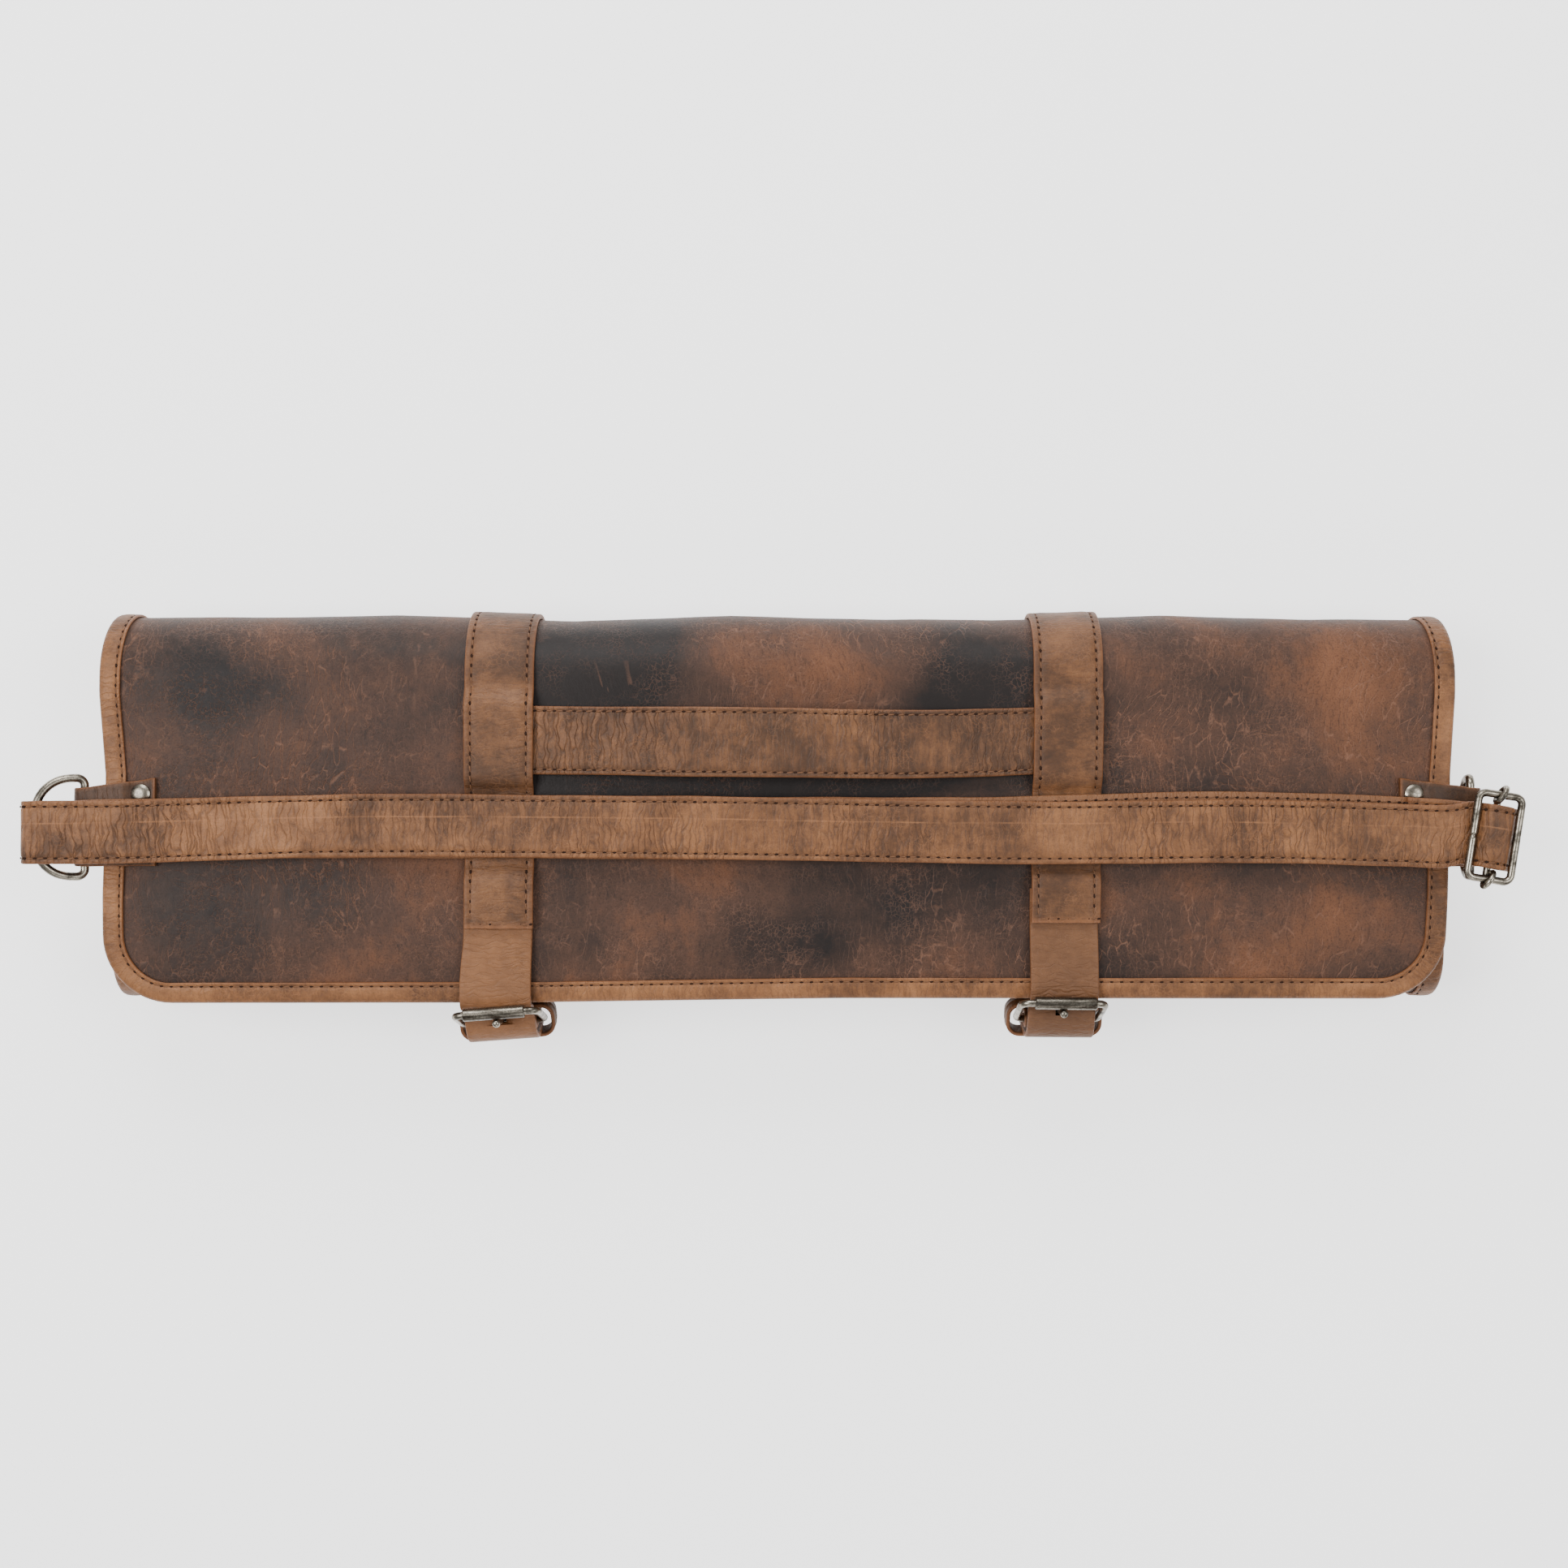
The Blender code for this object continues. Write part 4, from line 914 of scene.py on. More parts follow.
def trim_finish(name, tone, wrinkle=1.0, dark=0.0, pressed_line=0.0):
    """Waxed strap leather: creases across the strap with painted shade in their grooves, rubbed patches and
    an orange raw edge.
    """
    shades = colours()
    made, tree = node_material(name)
    here = object_place(tree)
    along = map_place(tree)
    base = scaled(shades.trim_brown, tone)
    patches = cloudy(tree, wobbled(tree, here, 24.0, 0.02), 30.0, 6.0, 0.66)
    fine = cloudy(tree, here, 300.0, 4.0, 0.64)
    streak = cloudy(tree, stretched(tree, along, (1.0, 0.14, 1.0)), 340.0, 4.0, 0.66)
    value = maths(tree, "ADD", patches, swing(tree, fine, 0.3))
    value = maths(
        tree, "ADD", value, swing(tree, streak, 0.3 * wrinkle),
    )
    value = maths(tree, "SUBTRACT", value, dark)
    # Darkest brown: the dark end of the patches, the painted shade in the crease grooves, and the pores
    dark_tone_and_crease_shade = (base[0] * 0.24, base[1] * 0.24 + 0.001, base[2] * 0.30 + 0.001)
    colour = ramp(tree, value, (
        (0.22, dark_tone_and_crease_shade),
        (0.40, scaled(base, 0.52)),
        (0.53, base),
        (0.70, (1.55 * base[0], 1.62 * base[1], 1.7 * base[2])),
    ))

    # Creases across the strap: grooves darkened with painted shade, and paler, rubbed crests between them
    bent = wobbled(tree, along, 150.0, 0.0045)
    grooves = veins(tree, stretched(tree, bent, (470.0, 82.0, 1.0)), 1.0, 0.12)
    ripples = cloudy(tree, stretched(tree, bent, (1.0, 0.13, 1.0)), 520.0, 3.0, 0.6)
    where = between(tree, cloudy(tree, here, 24.0, 3.0, 0.6), 0.34, 0.6, 0.25, 1.0)
    grooves = times(tree, times(tree, grooves, where), wrinkle)
    ripples = times(tree, between(tree, ripples, 0.5, 0.68), where)
    ripples = times(tree, ripples, wrinkle)
    pale = scaled(base, 1.7, 0.008)
    colour = blended(tree, times(tree, ripples, 0.5), colour, pale)
    # Painted shade: the crease grooves are darkened towards the darkest brown
    colour = blended(tree, times(tree, grooves, 0.55), colour, dark_tone_and_crease_shade)
    flecks = veins(tree, wobbled(tree, here, 220.0, 0.0035), 520.0, 0.10)
    flecks = times(tree, flecks, between(tree, cloudy(tree, here, 90.0, 3.0, 0.65), 0.46, 0.66))
    colour = blended(tree, times(tree, flecks, 0.36), colour, pale)
    if pressed_line:
        drifted = wobbled(tree, along, 14.0, 0.0015)
        place = add(tree, "ShaderNodeSeparateXYZ", {"Vector": drifted}).outputs["Y"]
        off = maths(tree, "ABSOLUTE", maths(tree, "SUBTRACT", place, pressed_line))
        line = between(tree, off, 0.0004, 0.0001)
        line = times(tree, line, between(tree, cloudy(tree, here, 40.0, 3.0), 0.4, 0.56))
        colour = blended(tree, times(tree, line, 0.6), colour, pale)
    pores = cloudy(tree, here, 1600.0, 2.0, 0.6)
    colour = blended(tree, between(tree, pores, 0.5, 0.74, 0.0, 0.4), colour, dark_tone_and_crease_shade)

    raw = attribute(tree, "raw")
    edge = tuple(shades.raw_edge)
    fuzz = blended(tree, fine, scaled(edge, 0.7), scaled(edge, 1.3))
    colour = blended(tree, times(tree, raw, 0.8), colour, fuzz)
    flesh = blended(
        tree, fine, scaled(base, 0.75), scaled(base, 1.2, 0.01),
    )
    colour = blended(tree, times(tree, attribute(tree, "flesh"), 0.7), colour, flesh)
    height = heap(tree, ((grooves, -0.8), (ripples, 0.4), (flecks, -0.2), (pores, 0.25), (fine, 0.5)))
    rough = between(tree, patches, 0.3, 0.75, 0.58, 0.46)
    finish_surface(tree, colour, rough, height, 0.55, Specular_IOR_Level=0.32)
    return made


def dress_leather(name, mesh, nodes, tone, wrinkle=1.0, dark=0.0, pressed_line=0.0):
    """Dress a piece in strap leather of its own tone."""
    dressed(name, mesh, trim_finish(name, tone, wrinkle, dark, pressed_line), nodes)


def dress_metal(name, mesh, nodes, metal):
    dressed(name, mesh, metal, nodes)


def thread_finish():
    made = bpy.data.materials.get("waxed_thread")
    if made:
        return made
    made, tree = node_material("waxed_thread")
    here = object_place(tree)
    shade = tuple(colours().thread)
    colour = blended(tree, cloudy(tree, here, 900.0, 3.0), scaled(shade, 0.6), scaled(shade, 1.35))
    twist = cloudy(tree, here, 4200.0, 2.0)
    finish_surface(tree, colour, 0.6, twist, 0.4, Specular_IOR_Level=0.35)
    return made


# Stitch hole finish: dark brown painted shade for the hole, not a colour of the leather itself
def hole_finish():
    made = bpy.data.materials.get("stitch_hole")
    if made:
        return made
    made, tree = node_material("stitch_hole")
    hole_shade_noise = cloudy(tree, object_place(tree), 800.0, 2.0)
    colour = blended(tree, hole_shade_noise, (0.012, 0.006, 0.004), (0.035, 0.016, 0.010))
    finish_surface(tree, colour, 0.85, hole_shade_noise, 0.2, Specular_IOR_Level=0.1)
    return made


def metal_finish(name, worn=0.5, brushed=False):
    """Antique nickel: bright rubbed wire with dark brown tarnish left in patches."""
    made, tree = node_material(name)
    shade = tuple(colours().metal)
    here = object_place(tree)
    place = stretched(tree, here, (0.25, 1.6, 1.6)) if brushed else here
    patches = cloudy(tree, place, 210.0, 4.0, 0.6, 0.3)
    specks = cloudy(tree, here, 1400.0, 2.0, 0.55)
    share = maths(tree, "ADD", patches, swing(tree, specks, 0.25))
    colour = ramp(tree, share, (
        (worn - 0.14, (0.028, 0.020, 0.014)),
        (worn - 0.02, scaled(shade, 0.35)),
        (worn + 0.12, shade),
        (worn + 0.32, tuple(min(1.0, 1.5 * value) for value in shade)),
    ))
    rough = between(tree, share, 0.3, 0.7, 0.42, 0.2)
    finish_surface(tree, colour, rough, share, 0.08, Metallic=1.0)
    return made


# Pieces
def panel_shade(x, y):
    """Give the cloud value at a place on the flattened top: the hide's clouds, with a painted shadow below
    the handle.
    """
    value = 0.5
    for cloud_x, cloud_y, reach_x, reach_y, strength in PANEL_CLOUDS:
        off = ((x - cloud_x) / reach_x) ** 2 + ((y - cloud_y) / reach_y) ** 2
        value += 0.42 * strength * math.exp(-off)
    value += 0.34 * noise.noise(Vector((x * 0.021, y * 0.026, 4.0)))
    value += 0.2 * noise.noise(Vector((x * 0.055, y * 0.05, 9.0)))
    return value


def panel_dent(x, distance):
    """Press the outer face in and out a little, and keep it still under what is sewn on."""
    value = 0.55 * noise.noise(Vector((x * 0.017, distance * 0.022, 1.0)))
    value += 0.22 * noise.noise(Vector((x * 0.05, distance * 0.045, 5.0)))
    calm = 1.0
    for strap in CALM_STRAP_XS:
        calm = min(calm, ease(abs(x - strap), 15.0, 40.0))
    if abs(x) < CALM_HANDLE_X:
        calm = min(calm, ease(abs(distance - CALM_HANDLE_DISTANCE), 16.0, 30.0))
    calm = min(calm, ease(CALM_END_X - abs(x), 8.0, 34.0))
    calm = min(calm, ease(distance, 10.0, 30.0))
    return min(0.25, value) * calm


class KNIFEROLL_OT_panel(bpy.types.Operator):
    """Make the rolled panel with its clouded, waxed face and its flesh side"""
    bl_idname = "knife_roll.make_panel"
    bl_label = "Panel"

    def execute(self, context):
        corner = CORNER_RADIUS - EDGE_INSET
        corner_stations = [corner * (1.0 - math.cos(math.radians(9.0 * step))) for step in range(10)]
        stations = corner_stations + fine_stations(corner, ROLL_LENGTH, sizes().panel_step / MM)[1:]
        columns = PANEL_COLUMNS
        under = PANEL_UNDER_COLUMNS
        sections = []
        clouds = []
        for distance in stations:
            inset = 0.0
            if distance < corner:
                inset = corner - math.sqrt(corner**2 - (corner - distance) ** 2)
            left = panel_side(1, distance) + inset
            right = panel_side(2, distance) - inset
            half = PANEL_WALL / 2
            ring = []
            shade = []
            for index in range(columns + 1):
                x = mix(left, right, index / columns)
                shifted = distance + flap_edge_shift(x, distance)
                ring.append(world(roll_point(x, shifted, half + panel_dent(x, distance))))
                shade.append(panel_shade(x, FLAP_START_Y + distance))
            for index in range(under + 1):
                x = mix(right, left, index / under)
                shifted = distance + flap_edge_shift(x, distance)
                ring.append(world(roll_point(x, shifted, -half)))
                shade.append(0.5)
            sections.append(ring)
            clouds.append(shade)
        marks = [(0.0, 0.0)] * (columns + 1) + [(0.0, 1.0)] * (under + 1)
        marks[0] = marks[columns] = (0.5, 0.3)
        lengths = [distance * MM for distance in stations]
        mesh = skin("panel_hide", sections, marks, lengths)
        reader = {}
        for ring, shade in zip(sections, clouds):
            for point, value in zip(ring, shade):
                reader[tuple(round(axis * 1e6) for axis in point)] = value
        layer = mesh.attributes.new("cloud", "FLOAT", "POINT")
        for index, vertex in enumerate(mesh.vertices):
            layer.data[index].value = reader.get(tuple(round(axis * 1e6) for axis in vertex.co), 0.5)
        dressed("panel_hide", mesh, panel_finish(), ["panel"])
        return {"FINISHED"}


def binding_path(step):
    """List the panel's edge as (x, distance, inwards x, inwards distance), from right to left."""
    corner = CORNER_RADIUS - EDGE_INSET
    corner_steps = 14
    sides = fine_stations(corner, ROLL_LENGTH, step)
    stations = []
    for distance in reversed(sides[1:]):
        stations.append((panel_side(2, distance), distance, -1.0, 0.0))
    for index in range(corner_steps + 1):
        angle = math.radians(90.0 * index / corner_steps)
        x = panel_side(2, corner) - corner + corner * math.cos(angle)
        stations.append((x, corner - corner * math.sin(angle), -math.cos(angle), math.sin(angle)))
    right = panel_side(2, corner) - corner
    left = panel_side(1, corner) + corner
    count = math.ceil((right - left) / step)
    for index in range(1, count):
        stations.append((mix(right, left, index / count), 0.0, 0.0, 1.0))
    for index in range(corner_steps + 1):
        angle = math.radians(90.0 * (1.0 - index / corner_steps))
        x = panel_side(1, corner) + corner - corner * math.cos(angle)
        stations.append((x, corner - corner * math.sin(angle), math.cos(angle), math.sin(angle)))
    for distance in sides[1:]:
        stations.append((panel_side(1, distance), distance, 1.0, 0.0))
    return stations


def binding_section():
    """List the binding's section as (outwards, up, raw, flesh) about the panel's edge."""
    outer = [
        (-6.7, 1.9, 1.0), (-6.7, 2.35, 1.0), (-6.5, 2.55, 0.6), (-6.2, 2.58, 0.1),
        (-5.7, 2.45, 0.0), (-5.35, 2.3, 0.0), (-5.0, 2.42, 0.0), (-4.6, 2.58, 0.0),
        (-3.8, 2.66, 0.0), (-2.6, 2.68, 0.0), (-1.2, 2.66, 0.0), (-0.2, 2.5, 0.0),
        (0.6, 2.1, 0.0), (1.1, 1.4, 0.0), (1.3, 0.6, 0.0), (1.3, 0.0, 0.0),
    ]
    section = [(a, h, raw, 0.0) for a, h, raw in outer]
    section += [(a, -h, raw, 0.0) for a, h, raw in reversed(outer[:-1])]
    inner = [(-6.7, -1.62), (-3.0, -1.62), (0.1, -1.62), (0.32, -1.3)]
    inner += [(a, -h) for a, h in reversed(inner)]
    section += [(a, h, 0.6, 1.0) for a, h in inner]
    return section


def binding_point(station, out, up):
    x, distance, in_x, in_distance = station
    along = distance - in_distance * out
    return roll_point(x - in_x * out, along + flap_edge_shift(x, distance), up)


class KNIFEROLL_OT_edge_binding(bpy.types.Operator):
    """Fold the binding over the panel's edge and stitch both its faces"""
    bl_idname = "knife_roll.make_edge_binding"
    bl_label = "Edge binding"

    def execute(self, context):
        stations = binding_path(sizes().strap_step / MM)
        section = binding_section()
        marks = [(raw, flesh) for _, _, raw, flesh in section]
        sections = []
        lengths = []
        travelled = 0.0
        last = None
        for station in stations:
            edge = binding_point(station, 0.0, 0.0)
            if last is not None:
                travelled += (edge - last).length
            last = edge
            ring = []
            for out, up, raw, flesh in section:
                swell = 0.0
                if abs(up) > 2.3 and out > -4.5:
                    swell = 0.06 * noise.noise(Vector((travelled * 0.12, out * 0.3, up)))
                    if up > 0.0 and station[1] < PUCKER_REACH:
                        close = math.exp(-((station[0] - PUCKER_X) / PUCKER_SPREAD) ** 2)
                        swell += 0.13 * close * math.sin(travelled * 2.0 + out * 0.9)
                drift = 0.0
                if out < -6.3:
                    drift = 0.25 * noise.noise(Vector((travelled * 0.05, up, 2.0)))
                ring.append(world(binding_point(station, out + drift, up + math.copysign(swell, up))))
            sections.append(ring)
            lengths.append(travelled * MM)
        mesh = skin("binding_leather", sections, marks, lengths)
        dress_leather("binding_leather", mesh, ["edge_binding"], 1.3, 0.5, -0.02)
        paths = []
        for face in (1.0, -1.0):
            path = []
            for station in stations:
                low = binding_point(station, BINDING_SEAM, face * 2.0)
                high = binding_point(station, BINDING_SEAM, face * 2.36)
                path.append((world(high), (high - low).normalized()))
            paths.append(path)
        seam_object("binding_stitches", paths, 0.12)
        return {"FINISHED"}


# The closing straps, billets and buckles
def turned_about(buckle, x, y, z, share=1.0):
    """Turn a point about the buckle's upright axis by a share of its yaw."""
    angle = math.radians(buckle["yaw"] * share)
    across = x - buckle["frame_x"]
    out = y - roller_centre(buckle)[0]
    return (
        buckle["frame_x"] + across * math.cos(angle) - out * math.sin(angle),
        roller_centre(buckle)[0] + across * math.sin(angle) + out * math.cos(angle),
        z,
    )


def roller_centre(buckle):
    """Give the roller's (y, z): it presses the billet round the flap's edge."""
    reach = BILLET_BEND + BILLET_WALL / 2 + GAP + ROLLER_PLAY + ROLLER_RADIUS
    lean = math.radians(buckle["lean"])
    bend_y = buckle["edge_y"] + BILLET_BEND_IN
    return (bend_y - reach * math.cos(lean), BILLET_BEND_Z + reach * math.sin(lean))


def heel_centre(buckle):
    """Give the heel bar's (y, z), below the roller and a little further out."""
    y, z = roller_centre(buckle)
    out = buckle["heel_out"]
    return (y - out, z - math.sqrt(BUCKLE_LENGTH**2 - out**2))


def closing_strap_x(buckle, distance):
    """Follow the strap's slight drift from the top fold down to the flap's edge."""
    drift = max(0.0, 1.0 - distance / TOP_FOLD_MIDDLE)
    return buckle["strap_x"] + buckle["strap_drift"] * drift


def buckles():
    return [dict(zip(BUCKLE_COLUMNS, row)) for row in BUCKLE_ROWS]


def closing_strap_frames(buckle):
    """Lay the sewn strap on the panel, lifted over the billet and the handle, and flat under the back."""
    base = PANEL_WALL / 2 + GAP + STRAP_WALL / 2
    over_billet = base + BILLET_WALL + GAP
    over_handle = base + HANDLE_WALL + GAP
    lifts = (
        (flap_distance(buckle["sewn_end_y"]), over_billet),
        (flap_distance(-36.5), over_billet),
        (flap_distance(-30.0), base),
        (flap_distance(-3.0), base),
        (flap_distance(2.8), over_handle),
        (flap_distance(29.4), over_handle),
        (flap_distance(35.5), base),
    )
    step = sizes().strap_step / MM
    end = back_distance(-62.0)
    start = lifts[0][0]
    frames = []
    count = math.ceil((end - start) / step)
    travelled = 0.0
    last = None
    for index in range(count + 1):
        distance = mix(start, end, index / count)
        lift = table_value(lifts, distance, eased=True)
        if distance > BACK_START - 0.01:
            _, z, heading = roll_frame(distance)
            lift = (z - STRAP_WALL / 2) / -math.cos(heading)
        x = closing_strap_x(buckle, distance)
        centre = roll_point(x, distance, lift)
        half = CLOSING_STRAP_WIDTH / 2
        across = (roll_point(x + half, distance, lift) - roll_point(x - half, distance, lift)).normalized()
        if last is not None:
            travelled += (centre - last).length
        last = centre
        frames.append([centre, across, None, CLOSING_STRAP_WIDTH, travelled])
    for index, row in enumerate(frames):
        tangent = (frames[min(count, index + 1)][0] - frames[max(0, index - 1)][0]).normalized()
        row[2] = row[1].cross(tangent).normalized()
    return [tuple(row) for row in frames]


class KNIFEROLL_OT_closing_straps(bpy.types.Operator):
    """Make both sewn closing straps with their edge seams and the cross seam at the sewn end"""
    bl_idname = "knife_roll.make_closing_straps"
    bl_label = "Closing straps"

    def execute(self, context):
        inset = 2.5
        paths = []
        for buckle in buckles():
            side = buckle["side"]
            frames = closing_strap_frames(buckle)
            mesh = strap_mesh("closing_strap_leather_" + side, frames, STRAP_WALL, inset)
            tone, dark = CLOSING_TONES[side]
            dress_leather("closing_strap_leather_" + side, mesh, ["closing_strap_" + side], tone, 0.35, dark)
            for edge in (-1.0, 1.0):
                paths.append(strap_seam(frames, STRAP_WALL, inset, edge, start=1.2))
            _, across, up, width, _ = frames[1]
            ahead = (frames[2][0] - frames[0][0]).normalized()
            middle = frames[0][0] + ahead * 1.5 + up * (STRAP_WALL / 2 - 0.02)
            reach = width / 2 - inset
            paths.append([(world(middle - across * reach), up), (world(middle + across * reach), up)])
        seam_object("closing_strap_stitches", paths, 0.15)
        return {"FINISHED"}


def billet_rows(buckle):
    """Run the billet from under the sewn strap, round the flap's edge, and out over the heel bar."""
    edge = buckle["edge_y"]
    heel_y, heel_z = heel_centre(buckle)
    x = buckle["billet_x"]
    start_x = closing_strap_x(buckle, 0.0)
    width = buckle["billet_width"]
    rows = []
    on_flap = TOP_Z + PANEL_WALL / 2 + GAP + BILLET_WALL / 2
    for y, share in ((-38.5, 0.0), (-54.0, 0.3), (-66.0, 0.8)):
        width_here = mix(CLOSING_STRAP_WIDTH - 0.6, width, share)
        rows.append((mix(start_x, x, share), y, on_flap, 0.0, width_here))
    over_edge = (
        (edge + 7.6, 51.4, 0.0),
        (edge + 1.6, 51.1, 0.0),
        (edge - 0.8, 50.2, 0.0),
        (edge - 1.8, 47.6, 0.1),
        (edge - 2.0, 44.6, 0.4),
    )
    for y, z, share in over_edge:
        rows.append((*turned_about(buckle, x, y, z, share), buckle["yaw"] * share, width))
    past_heel = (
        (heel_y + 2.6, heel_z + 9.0),
        (heel_y - 1.2, heel_z + 7.7),
        (heel_y - 4.6, heel_z + 5.0),
        (heel_y - 5.9, heel_z + 0.5),
        (heel_y - 5.3, heel_z - 5.5),
        (heel_y - 3.6, heel_z - 12.0),
        (heel_y - 1.2, heel_z - 20.0),
    )
    for y, z in past_heel:
        rows.append((*turned_about(buckle, x, y, z), buckle["yaw"], width))
    return rows


def prong_tip_y(buckle):
    return roller_centre(buckle)[0] - ROLLER_RADIUS - PRONG_PLAY - PRONG_WIRE


def prong_crossing(buckle, rows):
    """Give the place where the prong comes up through the billet."""
    target = Vector(turned_about(buckle, buckle["frame_x"], prong_tip_y(buckle), 0.0))
    low = [row for row in rows if row[2] < heel_centre(buckle)[1] + 11.0]
    nearest = min(low, key=lambda row: abs(row[1] - target.y))
    return world((target.x, target.y, nearest[2]))


class KNIFEROLL_OT_billets(bpy.types.Operator):
    """Make both billets, the strap ends that run through the buckles"""
    bl_idname = "knife_roll.make_billets"
    bl_label = "Billets"

    def execute(self, context):
        for buckle in buckles():
            side = buckle["side"]
            rows = smooth_rows(billet_rows(buckle), 6.0, sizes().strap_step / MM * 0.8)
            frames = strap_frames(rows, True)
            mesh = strap_mesh("billet_leather_" + side, frames, BILLET_WALL, 0.0, wander=0.3)
            open_slot(mesh, prong_crossing(buckle, rows), *BILLET_SLOT)
            tone, dark = BILLET_TONES[side]
            dress_leather("billet_leather_" + side, mesh, ["billet_" + side], tone, 0.7, dark)
        return {"FINISHED"}


def chape_rows(buckle):
    """List the buckle strap: sewn under the back, up the front fold, round the heel bar and back."""
    heel_y, heel_z = heel_centre(buckle)
    loop = CHAPE_LOOP
    on_back = PANEL_WALL / 2 + GAP + CHAPE_WALL / 2
    x = closing_strap_x(buckle, 0.0)
    rows = []
    for y in (-43.5, -52.0, -60.5):
        rows.append((*roll_point(x, back_distance(y), on_back), 0.0, CHAPE_WIDTH))
    front_fold = back_distance(-60.5)
    for travel, share in ((8.0, 0.1), (15.0, 0.3), (21.0, 0.5)):
        point = roll_point(x, front_fold + travel, on_back + 0.4)
        rows.append((*turned_about(buckle, *point, share), buckle["yaw"] * share, CHAPE_WIDTH))
    upper = [(heel_y + 4.0, heel_z - 12.0), (heel_y + 2.3, heel_z - 6.0)]
    for angle in (0.0, 30.0, 60.0, 90.0, 120.0, 150.0, 180.0):
        turn = math.radians(angle)
        upper.append((heel_y + loop * math.cos(turn), heel_z + loop * math.sin(turn)))
    upper += [
        (heel_y - 1.7, heel_z - 3.2),
        (heel_y + 0.05, heel_z - 6.7),
        (heel_y + 1.65, heel_z - 12.2),
        (heel_y + 3.1, heel_z - 16.0),
    ]
    for y, z in upper:
        rows.append((*turned_about(buckle, buckle["frame_x"], y, z), buckle["yaw"], CHAPE_WIDTH))
    return rows


class KNIFEROLL_OT_buckle_straps(bpy.types.Operator):
    """Make the leather that holds each buckle, folded round the heel bar"""
    bl_idname = "knife_roll.make_buckle_straps"
    bl_label = "Buckle straps"

    def execute(self, context):
        for buckle in buckles():
            side = buckle["side"]
            rows = smooth_rows(chape_rows(buckle), 8.0, sizes().strap_step / MM * 0.8)
            frames = strap_frames(rows, True)
            mesh = strap_mesh("buckle_strap_leather_" + side, frames, CHAPE_WALL, 0.0, flip=True, wander=0.1)
            heel_y, heel_z = heel_centre(buckle)
            loop = CHAPE_LOOP
            slot = world(turned_about(buckle, buckle["frame_x"], heel_y, heel_z + loop * 0.7))
            open_slot(mesh, slot, *CHAPE_SLOT)
            dress_leather("buckle_strap_leather_" + side, mesh, ["buckle_strap_" + side], 1.0, 0.3, 0.02)
        return {"FINISHED"}


def open_slot(mesh, centre, half_across, reach):
    """Cut a slot through a folded strap by taking out what lies inside a box, and close its walls."""
    body = bmesh.new()
    body.from_mesh(mesh)
    for sign in (-1.0, 1.0):
        plane = centre + Vector((sign * half_across, 0.0, 0.0))
        near = [item for item in geometry(body) if near_point(item, centre, reach)]
        bmesh.ops.bisect_plane(body, geom=near, plane_co=plane, plane_no=(1.0, 0.0, 0.0), dist=0.000001)
    gone = []
    for face in body.faces:
        off = face.calc_center_median() - centre
        if abs(off.x) < half_across and abs(off.y) < reach and -0.0016 < off.z < reach:
            gone.append(face)
    bmesh.ops.delete(body, geom=gone, context="FACES")
    rims = [edge for edge in body.edges if edge.is_boundary]
    bmesh.ops.bridge_loops(body, edges=rims)
    bmesh.ops.recalc_face_normals(body, faces=body.faces)
    body.to_mesh(mesh)
    body.free()
    smooth_faces(mesh)


def geometry(body):
    return list(body.verts) + list(body.edges) + list(body.faces)


def near_point(item, centre, reach):
    verts = [item] if isinstance(item, bmesh.types.BMVert) else item.verts
    return any((vertex.co - centre).length < reach * 2.5 for vertex in verts)


def divided(outline, spacing):
    """Fill a closed outline of pairs with points at most this far apart."""
    corners = [Vector(pair) for pair in outline]
    points = []
    for first, second in zip(corners, corners[1:] + corners[:1]):
        steps = max(1, math.ceil((second - first).length / spacing))
        points += [first.lerp(second, step / steps) for step in range(steps)]
    return points


def frame_outline(half_wide, half_long, corner, steps):
    """List a rounded rectangle as (across, along) pairs."""
    outline = []
    for quarter, (sign_a, sign_b) in enumerate(((1, 1), (-1, 1), (-1, -1), (1, -1))):
        for step in range(steps + 1):
            angle = math.radians(90.0 * (quarter + step / steps))
            outline.append((
                sign_a * (half_wide - corner) + corner * math.cos(angle),
                sign_b * (half_long - corner) + corner * math.sin(angle),
            ))
    return outline


class KNIFEROLL_OT_keepers(bpy.types.Operator):
    """Bend a band of leather round each buckle strap and the billet's tail"""
    bl_idname = "knife_roll.make_keepers"
    bl_label = "Keepers"

    def execute(self, context):
        for buckle in buckles():
            side = buckle["side"]
            heel_y, heel_z = heel_centre(buckle)
            centre_y = heel_y - 0.3
            centre_z = heel_z - KEEPER_BELOW_HEEL
            tilt = math.radians(KEEPER_TILT)
            half_width = (KEEPER_WIDTH - KEEPER_WALL) / 2
            half_depth = (KEEPER_DEPTH - KEEPER_WALL) / 2
            dense = divided(frame_outline(half_width, half_depth, KEEPER_CORNER, 8), KEEPER_STEP)
            sections = []
            lengths = []
            travelled = 0.0
            count = len(dense)
            for index, pair in enumerate(dense):
                tangent = (dense[(index + 1) % count] - dense[index - 1]).normalized()
                normal = Vector((tangent.y, -tangent.x))
                ring = []
                marks = []
                for u, h, raw, flesh in strap_section(KEEPER_BAND, KEEPER_WALL, 0.0, crown=0.25):
                    x = pair.x + normal.x * h
                    depth = pair.y + normal.y * h
                    y = centre_y + depth * math.cos(tilt) - u * math.sin(tilt)
                    z = centre_z + depth * math.sin(tilt) + u * math.cos(tilt)
                    ring.append(world(turned_about(buckle, buckle["frame_x"] + x, y, z)))
                    marks.append((raw, flesh))
                sections.append(ring)
                lengths.append(travelled * MM)
                travelled += (dense[(index + 1) % count] - pair).length
            sections.append(sections[0])
            lengths.append(travelled * MM)
            mesh = skin("keeper_leather_" + side, sections, marks, lengths, closed=True)
            dress_leather("keeper_leather_" + side, mesh, ["keeper_" + side], 0.9, 0.4, 0.04)
        return {"FINISHED"}


